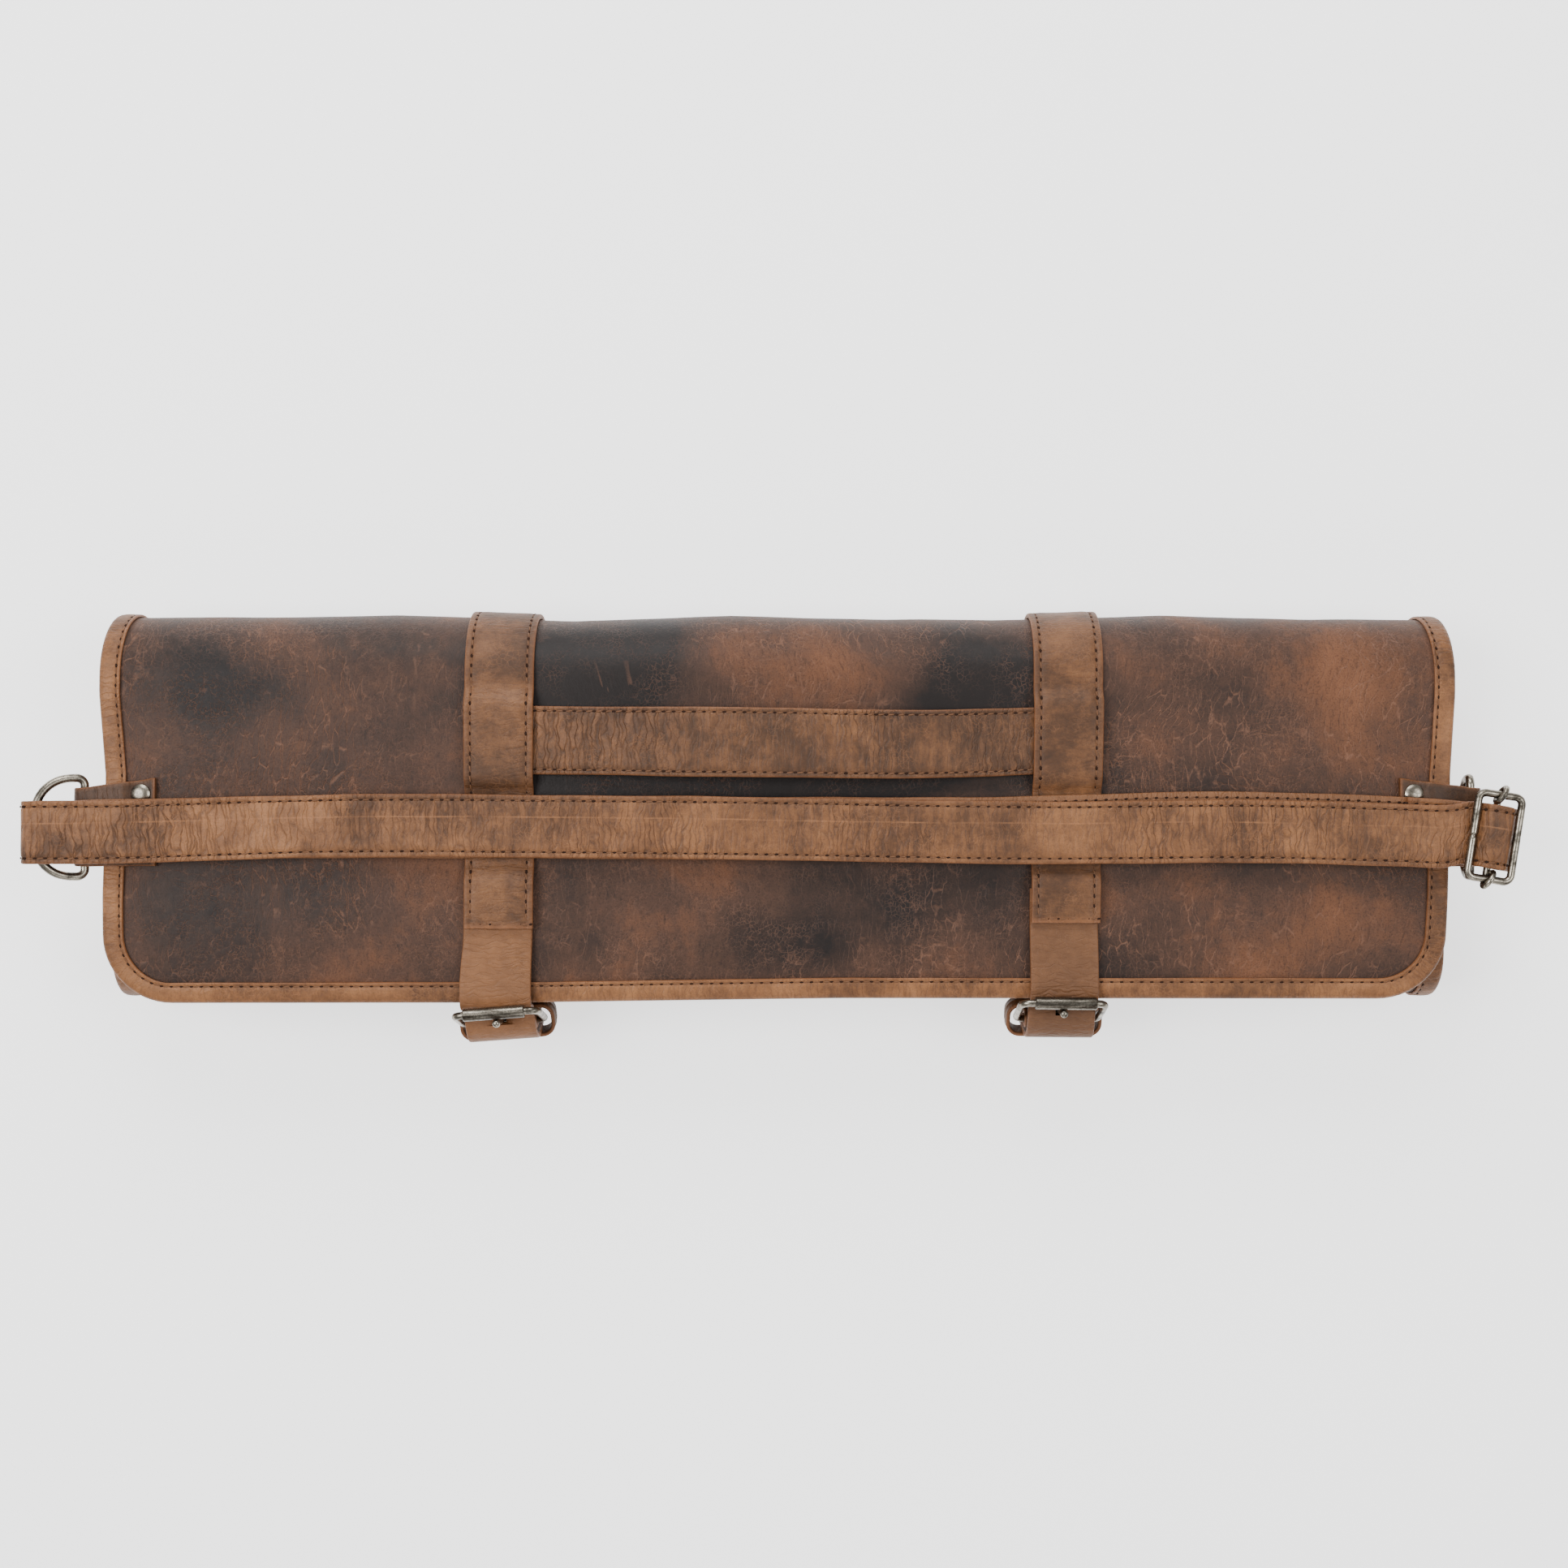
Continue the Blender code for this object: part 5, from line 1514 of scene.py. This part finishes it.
# Wires
def wire_body(name, points, radius, closed, swell=None, sides=14):
    """Sweep a round wire along points in metres, and close its ends."""
    count = len(points)
    normal = None
    sections = []
    for index, point in enumerate(points):
        before = points[index - 1] if closed or index else points[0]
        after = points[(index + 1) % count] if closed or index < count - 1 else points[-1]
        tangent = (after - before).normalized()
        if normal is None:
            normal = tangent.orthogonal().normalized()
        normal = (normal - tangent * normal.dot(tangent)).normalized()
        side = tangent.cross(normal)
        reach = radius * (swell[index] if swell else 1.0)
        ring = []
        for step in range(sides):
            turn = 2.0 * math.pi * step / sides
            ring.append(point + (normal * math.cos(turn) + side * math.sin(turn)) * reach)
        sections.append(ring)
    lengths = [0.001 * index for index in range(count)]
    if closed:
        first = sections[0]
        last = sections[-1]
        best = min(range(sides), key=lambda turn: (first[turn] - last[0]).length)
        sections.append([first[(best + step) % sides] for step in range(sides)])
        lengths.append(0.001 * count)
    return skin(name, sections, [(0.0, 0.0)] * sides, lengths, closed)


def merge(name, meshes):
    """Join meshes of one material into one."""
    body = bmesh.new()
    for mesh in meshes:
        body.from_mesh(mesh)
        bpy.data.meshes.remove(mesh)
    joined = bpy.data.meshes.new(name)
    body.to_mesh(joined)
    body.free()
    smooth_faces(joined)
    return joined


def spun(name, profile, place):
    """Spin a profile of (radius, height) in metres round Z, close it, and put it in its place."""
    body = bmesh.new()
    corners = [body.verts.new((radius, 0.0, height)) for radius, height in profile]
    lines = [body.edges.new(pair) for pair in zip(corners, corners[1:])]
    bmesh.ops.spin(
        body, geom=corners + lines, cent=(0.0, 0.0, 0.0), axis=(0.0, 0.0, 1.0),
        angle=math.radians(360.0), steps=SPIN_STEPS, use_merge=True,
    )
    bmesh.ops.remove_doubles(body, verts=body.verts, dist=0.000002)
    bmesh.ops.recalc_face_normals(body, faces=body.faces)
    bmesh.ops.transform(body, matrix=place, verts=body.verts)
    mesh = bpy.data.meshes.new(name)
    body.to_mesh(mesh)
    body.free()
    smooth_faces(mesh, 35.0)
    return mesh


class KNIFEROLL_OT_buckles(bpy.types.Operator):
    """Make both roller buckles: wire frame, roller tube and prong"""
    bl_idname = "knife_roll.make_buckles"
    bl_label = "Buckles"

    def execute(self, context):
        wire_metal = metal_finish("buckle_wire_nickel", 0.42)
        roller_metal = metal_finish("roller_nickel", 0.5, True)
        for buckle in buckles():
            side = buckle["side"]
            roller_y, roller_z = roller_centre(buckle)
            heel_y, heel_z = heel_centre(buckle)
            along_y = (roller_y - heel_y) / BUCKLE_LENGTH
            along_z = (roller_z - heel_z) / BUCKLE_LENGTH
            half_wide = BUCKLE_INNER_WIDTH / 2 + BUCKLE_WIRE
            points = []
            for across, along in frame_outline(half_wide, BUCKLE_LENGTH / 2, BUCKLE_CORNER, 9):
                x = buckle["frame_x"] + across
                y = (roller_y + heel_y) / 2 + along * along_y
                z = (roller_z + heel_z) / 2 + along * along_z
                points.append(world(turned_about(buckle, x, y, z)))
            mesh = wire_body("buckle_frame_metal_" + side, points, BUCKLE_WIRE * MM, True)
            dress_metal("buckle_frame_metal_" + side, mesh, ["buckle_frame_" + side], wire_metal)

            bore = (BUCKLE_WIRE + 0.15) * MM
            half = ROLLER_LENGTH / 2 * MM
            radius = ROLLER_RADIUS * MM
            chamfer = 0.3 * MM
            profile = (
                (bore, -half), (radius - chamfer, -half), (radius, -half + chamfer),
                (radius, half - chamfer), (radius - chamfer, half), (bore, half), (bore, -half),
            )
            centre = world(turned_about(buckle, buckle["roller_x"], roller_y, roller_z))
            place = Matrix.Translation(centre) @ Matrix.Rotation(math.radians(buckle["yaw"]), 4, "Z")
            place = place @ Matrix.Rotation(math.radians(90.0), 4, "Y")
            mesh = spun("buckle_roller_metal_" + side, profile, place)
            dress_metal("buckle_roller_metal_" + side, mesh, ["buckle_roller_" + side], roller_metal)

            ring = BUCKLE_WIRE + GAP + PRONG_WIRE
            path = []
            for angle in range(100, 361, 13):
                turn = math.radians(angle)
                path.append((0.0, heel_y + ring * math.cos(turn), heel_z + ring * math.sin(turn)))
            tip_y = prong_tip_y(buckle)
            tip_z = roller_z + 1.2
            path.append((0.0, mix(heel_y + ring, tip_y, 0.45), heel_z + 4.0))
            path.append((0.0, tip_y, heel_z + 9.0))
            path.append((0.0, tip_y, tip_z - 3.5))
            fine = [row.to_3d() for row in smooth_rows(path, 10.0, 1.5)]
            swell = [1.0] * len(fine)
            for drop, size in PRONG_TIP:
                fine.append(Vector((0.0, tip_y, tip_z + 0.05 - drop)))
                swell.append(size)
            points = [world(turned_about(buckle, buckle["frame_x"], point.y, point.z)) for point in fine]
            mesh = wire_body("buckle_prong_metal_" + side, points, PRONG_WIRE * MM, False, swell)
            dress_metal("buckle_prong_metal_" + side, mesh, ["buckle_prong_" + side], wire_metal)
        return {"FINISHED"}


# The handle, the end tabs, the rings and the rivets
class KNIFEROLL_OT_carry_handle(bpy.types.Operator):
    """Make the flat carry handle, sewn under both closing straps and raised in the middle"""
    bl_idname = "knife_roll.make_carry_handle"
    bl_label = "Carry handle"

    def execute(self, context):
        sewn = TOP_Z + PANEL_WALL / 2 + GAP + HANDLE_WALL / 2
        rows = (
            (-114.0, 16.3, sewn, 0.0, 25.2),
            (-91.0, 16.2, sewn, 0.0, 25.2),
            (-76.0, 16.0, sewn + 1.2, 0.0, 25.2),
            (-45.0, 15.6, sewn + 5.0, 0.0, 25.4),
            (0.0, 15.1, sewn + 6.2, 0.0, 25.4),
            (45.0, 14.6, sewn + 5.0, 0.0, 25.0),
            (77.0, 15.2, sewn + 1.2, 0.0, 24.8),
            (92.0, 15.8, sewn, 0.0, 24.6),
            (114.0, 16.2, sewn, 0.0, 24.6),
        )
        inset = 1.8
        frames = strap_frames(smooth_rows(rows, 6.0, sizes().strap_step / MM), False)
        mesh = strap_mesh("handle_leather", frames, HANDLE_WALL, inset, flip=True, wander=0.3)
        dress_leather("handle_leather", mesh, ["carry_handle"], 0.92, 1.0, 0.06)
        paths = []
        for edge in (-1.0, 1.0):
            paths.append(strap_seam(frames, HANDLE_WALL, inset, edge, flip=True))
            paths.append(strap_seam(frames, HANDLE_WALL, inset, edge, flip=True, under=True))
        seam_object("handle_stitches", paths, 0.15)
        return {"FINISHED"}


def outward(side):
    return -1.0 if side == "left" else 1.0


def tab_rows(side):
    """Fold the tab round the ring's bar, with one ply on each face of the panel."""
    top = TOP_Z + PANEL_WALL / 2 + GAP + TAB_WALL / 2
    over_binding = top + GAP + BINDING_WALL
    bottom = 2 * TOP_Z - top
    under_binding = 2 * TOP_Z - over_binding
    loop = RING_WIRE + GAP + TAB_WALL / 2
    path = [
        (TAB_LENGTH, top), (10.3, top), (8.7, over_binding), (4.0, over_binding), (-3.0, over_binding - 0.4),
    ]
    for angle in range(90, 271, 30):
        turn = math.radians(angle)
        path.append((-RING_BAR_OUT + loop * math.cos(turn), TOP_Z + loop * math.sin(turn)))
    path += [
        (-3.0, under_binding + 0.4), (4.0, under_binding), (8.7, under_binding), (10.3, bottom),
        (TAB_LENGTH, bottom),
    ]
    rows = []
    for inwards, z in path:
        share = min(1.0, max(0.0, (inwards + RING_BAR_OUT) / (TAB_LENGTH + RING_BAR_OUT)))
        x = TAB_EDGE_X[side] - outward(side) * inwards
        rows.append((x, mix(-15.9, -14.0, share), z, 0.0, mix(29.0, 32.4, share)))
    return rows


class KNIFEROLL_OT_ring_tabs(bpy.types.Operator):
    """Make the leather tab at each end and its rivets"""
    bl_idname = "knife_roll.make_ring_tabs"
    bl_label = "Ring tabs and rivets"

    def execute(self, context):
        metal = metal_finish("rivet_nickel", 0.38)
        for side in ("left", "right"):
            frames = strap_frames(smooth_rows(tab_rows(side), 9.0, 1.4), False)
            flip = side == "right"
            mesh = strap_mesh("ring_tab_leather_" + side, frames, TAB_WALL, 0.0, flip=flip, wander=0.15)
            dress_leather("ring_tab_leather_" + side, mesh, ["ring_tab_" + side], 0.38, 0.4, 0.02)
            for level, y in RIVET_YS.items():
                face = PANEL_WALL / 2 + GAP + TAB_WALL + 0.12
                profile = [(radius * MM, (face + rise) * MM) for radius, rise in RIVET_CROWN]
                profile += [(radius * MM, (-face - drop) * MM) for radius, drop in RIVET_BURR]
                x = TAB_EDGE_X[side] - outward(side) * RIVET_IN
                place = Matrix.Translation(world((x, y, TOP_Z)))
                mesh = spun(f"rivet_metal_{side}_{level}", profile, place)
                dress_metal(f"rivet_metal_{side}_{level}", mesh, [f"rivet_{side}_{level}"], metal)
        return {"FINISHED"}


def ring_outline():
    """List the D ring as (out from the bar, along the bar): a straight bar, small corners, a round bow."""
    outline = []
    for step in range(8):
        angle = math.radians(90.0 * step / 7)
        outline.append((
            RING_CORNER - RING_CORNER * math.cos(angle),
            RING_HALF_HEIGHT - RING_CORNER + RING_CORNER * math.sin(angle),
        ))
    bow = RING_DEPTH - RING_CORNER
    for step in range(1, 30):
        angle = math.radians(90.0 - 180.0 * step / 30)
        power = 2.0 / RING_SQUARENESS
        out = math.cos(angle) ** power
        along = math.copysign(abs(math.sin(angle)) ** power, angle)
        outline.append((RING_CORNER + bow * out, RING_HALF_HEIGHT * along))
    for step in range(8):
        angle = math.radians(90.0 * (1.0 - step / 7))
        outline.append((
            RING_CORNER - RING_CORNER * math.cos(angle),
            -RING_HALF_HEIGHT + RING_CORNER - RING_CORNER * math.sin(angle),
        ))
    return outline


def ring_bow(side):
    """Give the middle of the ring's bow."""
    bar_x = TAB_EDGE_X[side] + outward(side) * RING_BAR_OUT
    tilt = math.radians(RING_SLOPES[side])
    return Vector((
        bar_x + outward(side) * RING_DEPTH * math.cos(tilt), RING_Y, TOP_Z + RING_DEPTH * math.sin(tilt),
    ))


class KNIFEROLL_OT_rings(bpy.types.Operator):
    """Make the D rings that hang from the tabs"""
    bl_idname = "knife_roll.make_rings"
    bl_label = "D rings"

    def execute(self, context):
        metal = metal_finish("ring_nickel", 0.4)
        for side in ("left", "right"):
            bar_x = TAB_EDGE_X[side] + outward(side) * RING_BAR_OUT
            tilt = math.radians(RING_SLOPES[side])
            points = []
            for out, along in ring_outline():
                x = bar_x + outward(side) * out * math.cos(tilt)
                points.append(world((x, RING_Y + along, TOP_Z + out * math.sin(tilt))))
            mesh = wire_body("d_ring_metal_" + side, points, RING_WIRE * MM, True)
            dress_metal("d_ring_metal_" + side, mesh, ["d_ring_" + side], metal)
        return {"FINISHED"}


# The shoulder strap, from its end on the right ring to its end on the adjuster's bar
def shoulder_rows():
    loop = RING_WIRE + GAP + SHOULDER_WALL / 2
    right = ring_bow("right")
    left = ring_bow("left")
    bar_z = SLIDER_Z - SLIDER_EYE
    over = SLIDER_BAR_WIRE + GAP + SHOULDER_WALL / 2
    rows = []

    def at(x, y, z, yaw=0.0):
        rows.append((x, y, z, yaw, SHOULDER_WIDTH))

    def at_slider(x, z, width=SHOULDER_WIDTH):
        y = SLIDER_Y + (x - SLIDER_X) * math.tan(math.radians(SLIDER_YAW))
        rows.append((x, y, z, SLIDER_YAW, width))

    at(right.x - 2.6, -18.0, right.z + 13.0, -2.0)
    at(right.x - 3.4, -18.0, right.z + 8.5, -2.0)
    at(right.x - 3.8, -18.0, right.z + 4.6, -2.0)
    for angle in (180.0, 225.0, 270.0, 315.0, 360.0):
        turn = math.radians(angle)
        reach = loop + 0.25
        at(right.x - 0.2 + reach * math.cos(turn), -18.0, right.z + reach * math.sin(turn), -2.0)
    at(right.x + 2.4, -18.1, right.z + 6.6, -3.0)
    at(right.x + 2.4, -18.6, right.z + 13.0, -5.0)
    at(right.x + 4.2, -19.6, right.z + 19.0, -7.0)
    for off, z in (
        (6.7, 54.0), (8.2, 57.0), (7.4, 59.2), (5.3, 61.2), (4.2, 63.2), (2.4, 64.6), (0.0, 65.15),
        (-2.7, 64.4), (-4.4, 62.8), (-5.3, 61.3), (-6.9, 60.0), (-9.0, 59.75),
    ):
        at_slider(SLIDER_X + off, z)
    for row in (
        (243.0, -18.9, 59.95, -6.0),
        (226.0, -18.6, 59.6, -3.0),
        (212.0, -18.3, 58.2, -2.0),
        (174.0, -17.4, 56.9, 0.0),
        (99.0, -17.9, 56.6, 1.0),
        (-16.0, -16.2, 56.6, 0.0),
        (-79.0, -15.6, 56.6, 0.0),
        (-171.0, -15.4, 56.7, 1.5),
        (-218.0, -16.8, 57.2, 3.0),
        (-240.0, -17.5, 57.7, 3.0),
        (-256.0, -17.7, 58.3, 1.0),
        (-267.0, -17.7, 59.0, 0.0),
    ):
        at(*row)
    plane = math.atan2(left.z - TOP_Z, left.x - (TAB_EDGE_X["left"] - RING_BAR_OUT))
    for swing in (90.0, 45.0, 0.0, -45.0, -90.0):
        turn = plane - math.radians(swing)
        at(left.x + loop * math.cos(turn), -17.7, left.z + loop * math.sin(turn))
    for row in (
        (-271.4, -17.7, 51.9),
        (-268.3, -17.7, 51.5),
        (-264.8, -17.6, 52.4),
        (-261.2, -17.5, 54.0),
        (-256.0, -17.3, 54.9),
        (-240.0, -17.0, 54.9, 2.0),
        (-218.0, -16.6, 54.3, 2.0),
        (-171.0, -15.8, 53.9, 1.0),
        (-79.0, -15.9, 53.9, 0.0),
        (-16.0, -16.3, 53.9, 0.0),
        (99.0, -15.8, 53.9, 0.0),
        (150.0, -14.3, 53.9, 0.0),
        (200.0, -15.1, 54.2, -1.5),
        (226.0, -16.2, 54.8, -4.0),
        (243.0, -17.3, 54.9, -7.0),
    ):
        at(*row)
    at_slider(SLIDER_X - 7.4, 55.0)
    at_slider(SLIDER_X - 4.6, 55.6)
    at_slider(SLIDER_X - 2.2, bar_z - over - 0.35, 22.6)
    for angle in (270.0, 315.0, 360.0, 405.0, 450.0, 490.0):
        turn = math.radians(angle)
        at_slider(SLIDER_X + over * math.cos(turn), bar_z + over * math.sin(turn), 22.4)
    at_slider(SLIDER_X - 3.0, 60.0, 22.6)
    at_slider(SLIDER_X - 4.9, 58.2)
    at_slider(SLIDER_X - 7.8, 57.4)
    at(242.0, -17.4, 57.4, -7.0)
    at(227.0, -16.4, 57.3, -4.0)
    return rows


class KNIFEROLL_OT_shoulder_strap(bpy.types.Operator):
    """Make the whole shoulder strap with both its seams"""
    bl_idname = "knife_roll.make_shoulder_strap"
    bl_label = "Shoulder strap"

    def execute(self, context):
        inset = 2.1
        frames = strap_frames(smooth_rows(shoulder_rows(), 7.0, sizes().strap_step / MM), False)
        mesh = strap_mesh("shoulder_strap_leather", frames, SHOULDER_WALL, inset, wander=0.35)
        pressed = SHOULDER_PRESSED_LINE * MM
        dress_leather("shoulder_strap_leather", mesh, ["shoulder_strap"], 1.2, 1.0, -0.01, pressed)
        paths = []
        for edge in (-1.0, 1.0):
            paths.append(strap_seam(frames, SHOULDER_WALL, inset, edge))
            paths.append(strap_seam(frames, SHOULDER_WALL, inset, edge, under=True))
        seam_object("shoulder_strap_stitches", paths, 0.12)
        return {"FINISHED"}


class KNIFEROLL_OT_slider(bpy.types.Operator):
    """Make the adjuster: a wire frame, and a bar whose eyes ride on the frame's short sides"""
    bl_idname = "knife_roll.make_slider"
    bl_label = "Strap adjuster"

    def execute(self, context):
        metal = metal_finish("slider_nickel", 0.4)
        place = Matrix.Translation(world((SLIDER_X, SLIDER_Y, SLIDER_Z)))
        place = place @ Matrix.Rotation(math.radians(SLIDER_YAW), 4, "Z")
        outline = frame_outline(SLIDER_HALF_WIDE, SLIDER_HALF_LONG, SLIDER_CORNER, 9)
        weld = Vector((-SLIDER_HALF_WIDE, SLIDER_WELD_Y))
        points = []
        swell = []
        for spot in divided(outline, SLIDER_STEP):
            points.append(place @ (spot.to_3d() * MM))
            swell.append(1.0 - 0.32 * math.exp(-(((spot - weld).length / 0.5) ** 2)))
        mesh = wire_body("slider_frame_metal", points, SLIDER_WIRE * MM, True, swell)
        dress_metal("slider_frame_metal", mesh, ["slider_frame"], metal)
        parts = []
        path = []
        for step in range(25):
            along = mix(-SLIDER_HALF_LONG, SLIDER_HALF_LONG, step / 24)
            path.append(place @ (Vector((0.0, along, -SLIDER_EYE)) * MM))
        parts.append(wire_body("slider_bar", path, SLIDER_BAR_WIRE * MM, False))
        for sign in (-1.0, 1.0):
            eye = []
            for step in range(28):
                turn = 2.0 * math.pi * step / 28
                slew = SLIDER_EYE * math.sin(turn) * math.sin(math.radians(SLIDER_EYE_SLEW))
                along = sign * SLIDER_HALF_LONG + SLIDER_EYE * math.sin(turn)
                local = Vector((slew, along, SLIDER_EYE * math.cos(turn)))
                eye.append(place @ (local * MM))
            parts.append(wire_body("slider_eye", eye, SLIDER_EYE_WIRE * MM, True, sides=10))
        dress_metal("slider_bar_metal", merge("slider_bar_metal", parts), ["slider_bar"], metal)
        return {"FINISHED"}


class KNIFEROLL_OT_stage(bpy.types.Operator):
    """Make the floor, the lights and the camera"""
    bl_idname = "knife_roll.make_stage"
    bl_label = "Stage"

    def execute(self, context):
        settings = context.scene.knife_roll_stage
        centre = SHIFT * MM
        body = bmesh.new()
        bmesh.ops.create_grid(body, x_segments=1, y_segments=1, size=FLOOR_SIZE)
        bmesh.ops.translate(body, verts=body.verts, vec=(0.0, 0.0, -FLOOR_DROP))
        mesh = bpy.data.meshes.new("floor")
        body.to_mesh(mesh)
        body.free()
        floor = bpy.data.objects.new("floor", mesh)
        context.scene.collection.objects.link(floor)
        made, tree = node_material("pale_floor")
        finish_surface(
            tree, (*settings.floor_colour, 1.0), 0.9, None, 0.0,
            Specular_IOR_Level=0.1,
            Emission_Color=(1.0, 1.0, 1.0, 1.0),
            Emission_Strength=settings.floor_glow,
        )
        floor.data.materials.append(made)

        sky = bpy.data.worlds.new("soft_sky")
        sky.use_nodes = True
        backdrop = sky.node_tree.nodes["Background"]
        backdrop.inputs["Color"].default_value = (1.0, 0.99, 0.98, 1.0)
        backdrop.inputs["Strength"].default_value = settings.world_strength
        context.scene.world = sky

        # Each row is a light: name, place, size, power as a share of the key light's
        for name, place, size, share in (
            ("key_light", (-0.15, 1.15, 0.85), 0.8, 1.0),
            ("left_light", (-0.85, 0.1, 1.25), 0.8, 1.0),
            ("right_light", (0.95, 0.05, 1.25), 0.8, 0.65),
            ("front_light", (0.1, -1.1, 0.8), 0.8, 0.3),
        ):
            lamp = bpy.data.lights.new(name, "AREA")
            lamp.energy = settings.key_power * share
            lamp.size = size
            item = bpy.data.objects.new(name, lamp)
            item.location = Vector(place)
            item.rotation_euler = (centre - Vector(place)).to_track_quat("-Z", "Y").to_euler()
            context.scene.collection.objects.link(item)

        eye = bpy.data.cameras.new("camera")
        eye.sensor_width = CAMERA_SENSOR
        eye.lens = CAMERA_LENS
        eye.clip_start = 0.01
        camera = bpy.data.objects.new("camera", eye)
        camera.location = (centre.x, centre.y, settings.camera_height)
        context.scene.collection.objects.link(camera)
        context.scene.camera = camera
        return {"FINISHED"}


OPERATORS = (
    KNIFEROLL_OT_stage,
    KNIFEROLL_OT_panel,
    KNIFEROLL_OT_edge_binding,
    KNIFEROLL_OT_closing_straps,
    KNIFEROLL_OT_billets,
    KNIFEROLL_OT_buckle_straps,
    KNIFEROLL_OT_keepers,
    KNIFEROLL_OT_buckles,
    KNIFEROLL_OT_carry_handle,
    KNIFEROLL_OT_ring_tabs,
    KNIFEROLL_OT_rings,
    KNIFEROLL_OT_shoulder_strap,
    KNIFEROLL_OT_slider,
)


class KNIFEROLL_PT_panel(bpy.types.Panel):
    """List the pieces of the knife roll"""
    bl_idname = "KNIFEROLL_PT_panel"
    bl_label = "Knife Roll"
    bl_space_type = "VIEW_3D"
    bl_region_type = "UI"
    bl_category = "Knife Roll"

    def draw(self, context):
        layout = self.layout
        for group in (
            context.scene.knife_roll_sizes, context.scene.knife_roll_colours, context.scene.knife_roll_stage,
        ):
            box = layout.box()
            for key in group.bl_rna.properties.keys():
                if key not in {"rna_type", "name"}:
                    box.prop(group, key)
        for operator in OPERATORS:
            layout.operator(operator.bl_idname)


GROUPS = (KnifeRollSizes, KnifeRollColours, KnifeRollStage)
CLASSES = GROUPS + OPERATORS + (KNIFEROLL_PT_panel,)


def register():
    for item in CLASSES:
        bpy.utils.register_class(item)
    bpy.types.Scene.knife_roll_sizes = bpy.props.PointerProperty(type=KnifeRollSizes)
    bpy.types.Scene.knife_roll_colours = bpy.props.PointerProperty(type=KnifeRollColours)
    bpy.types.Scene.knife_roll_stage = bpy.props.PointerProperty(type=KnifeRollStage)


def unregister():
    del bpy.types.Scene.knife_roll_sizes
    del bpy.types.Scene.knife_roll_colours
    del bpy.types.Scene.knife_roll_stage
    for item in reversed(CLASSES):
        bpy.utils.unregister_class(item)


def main():
    register()
    for operator in OPERATORS:
        group, call = operator.bl_idname.split(".")
        getattr(getattr(bpy.ops, group), call)()
    bpy.context.view_layer.update()


if __name__ == "__main__":
    main()
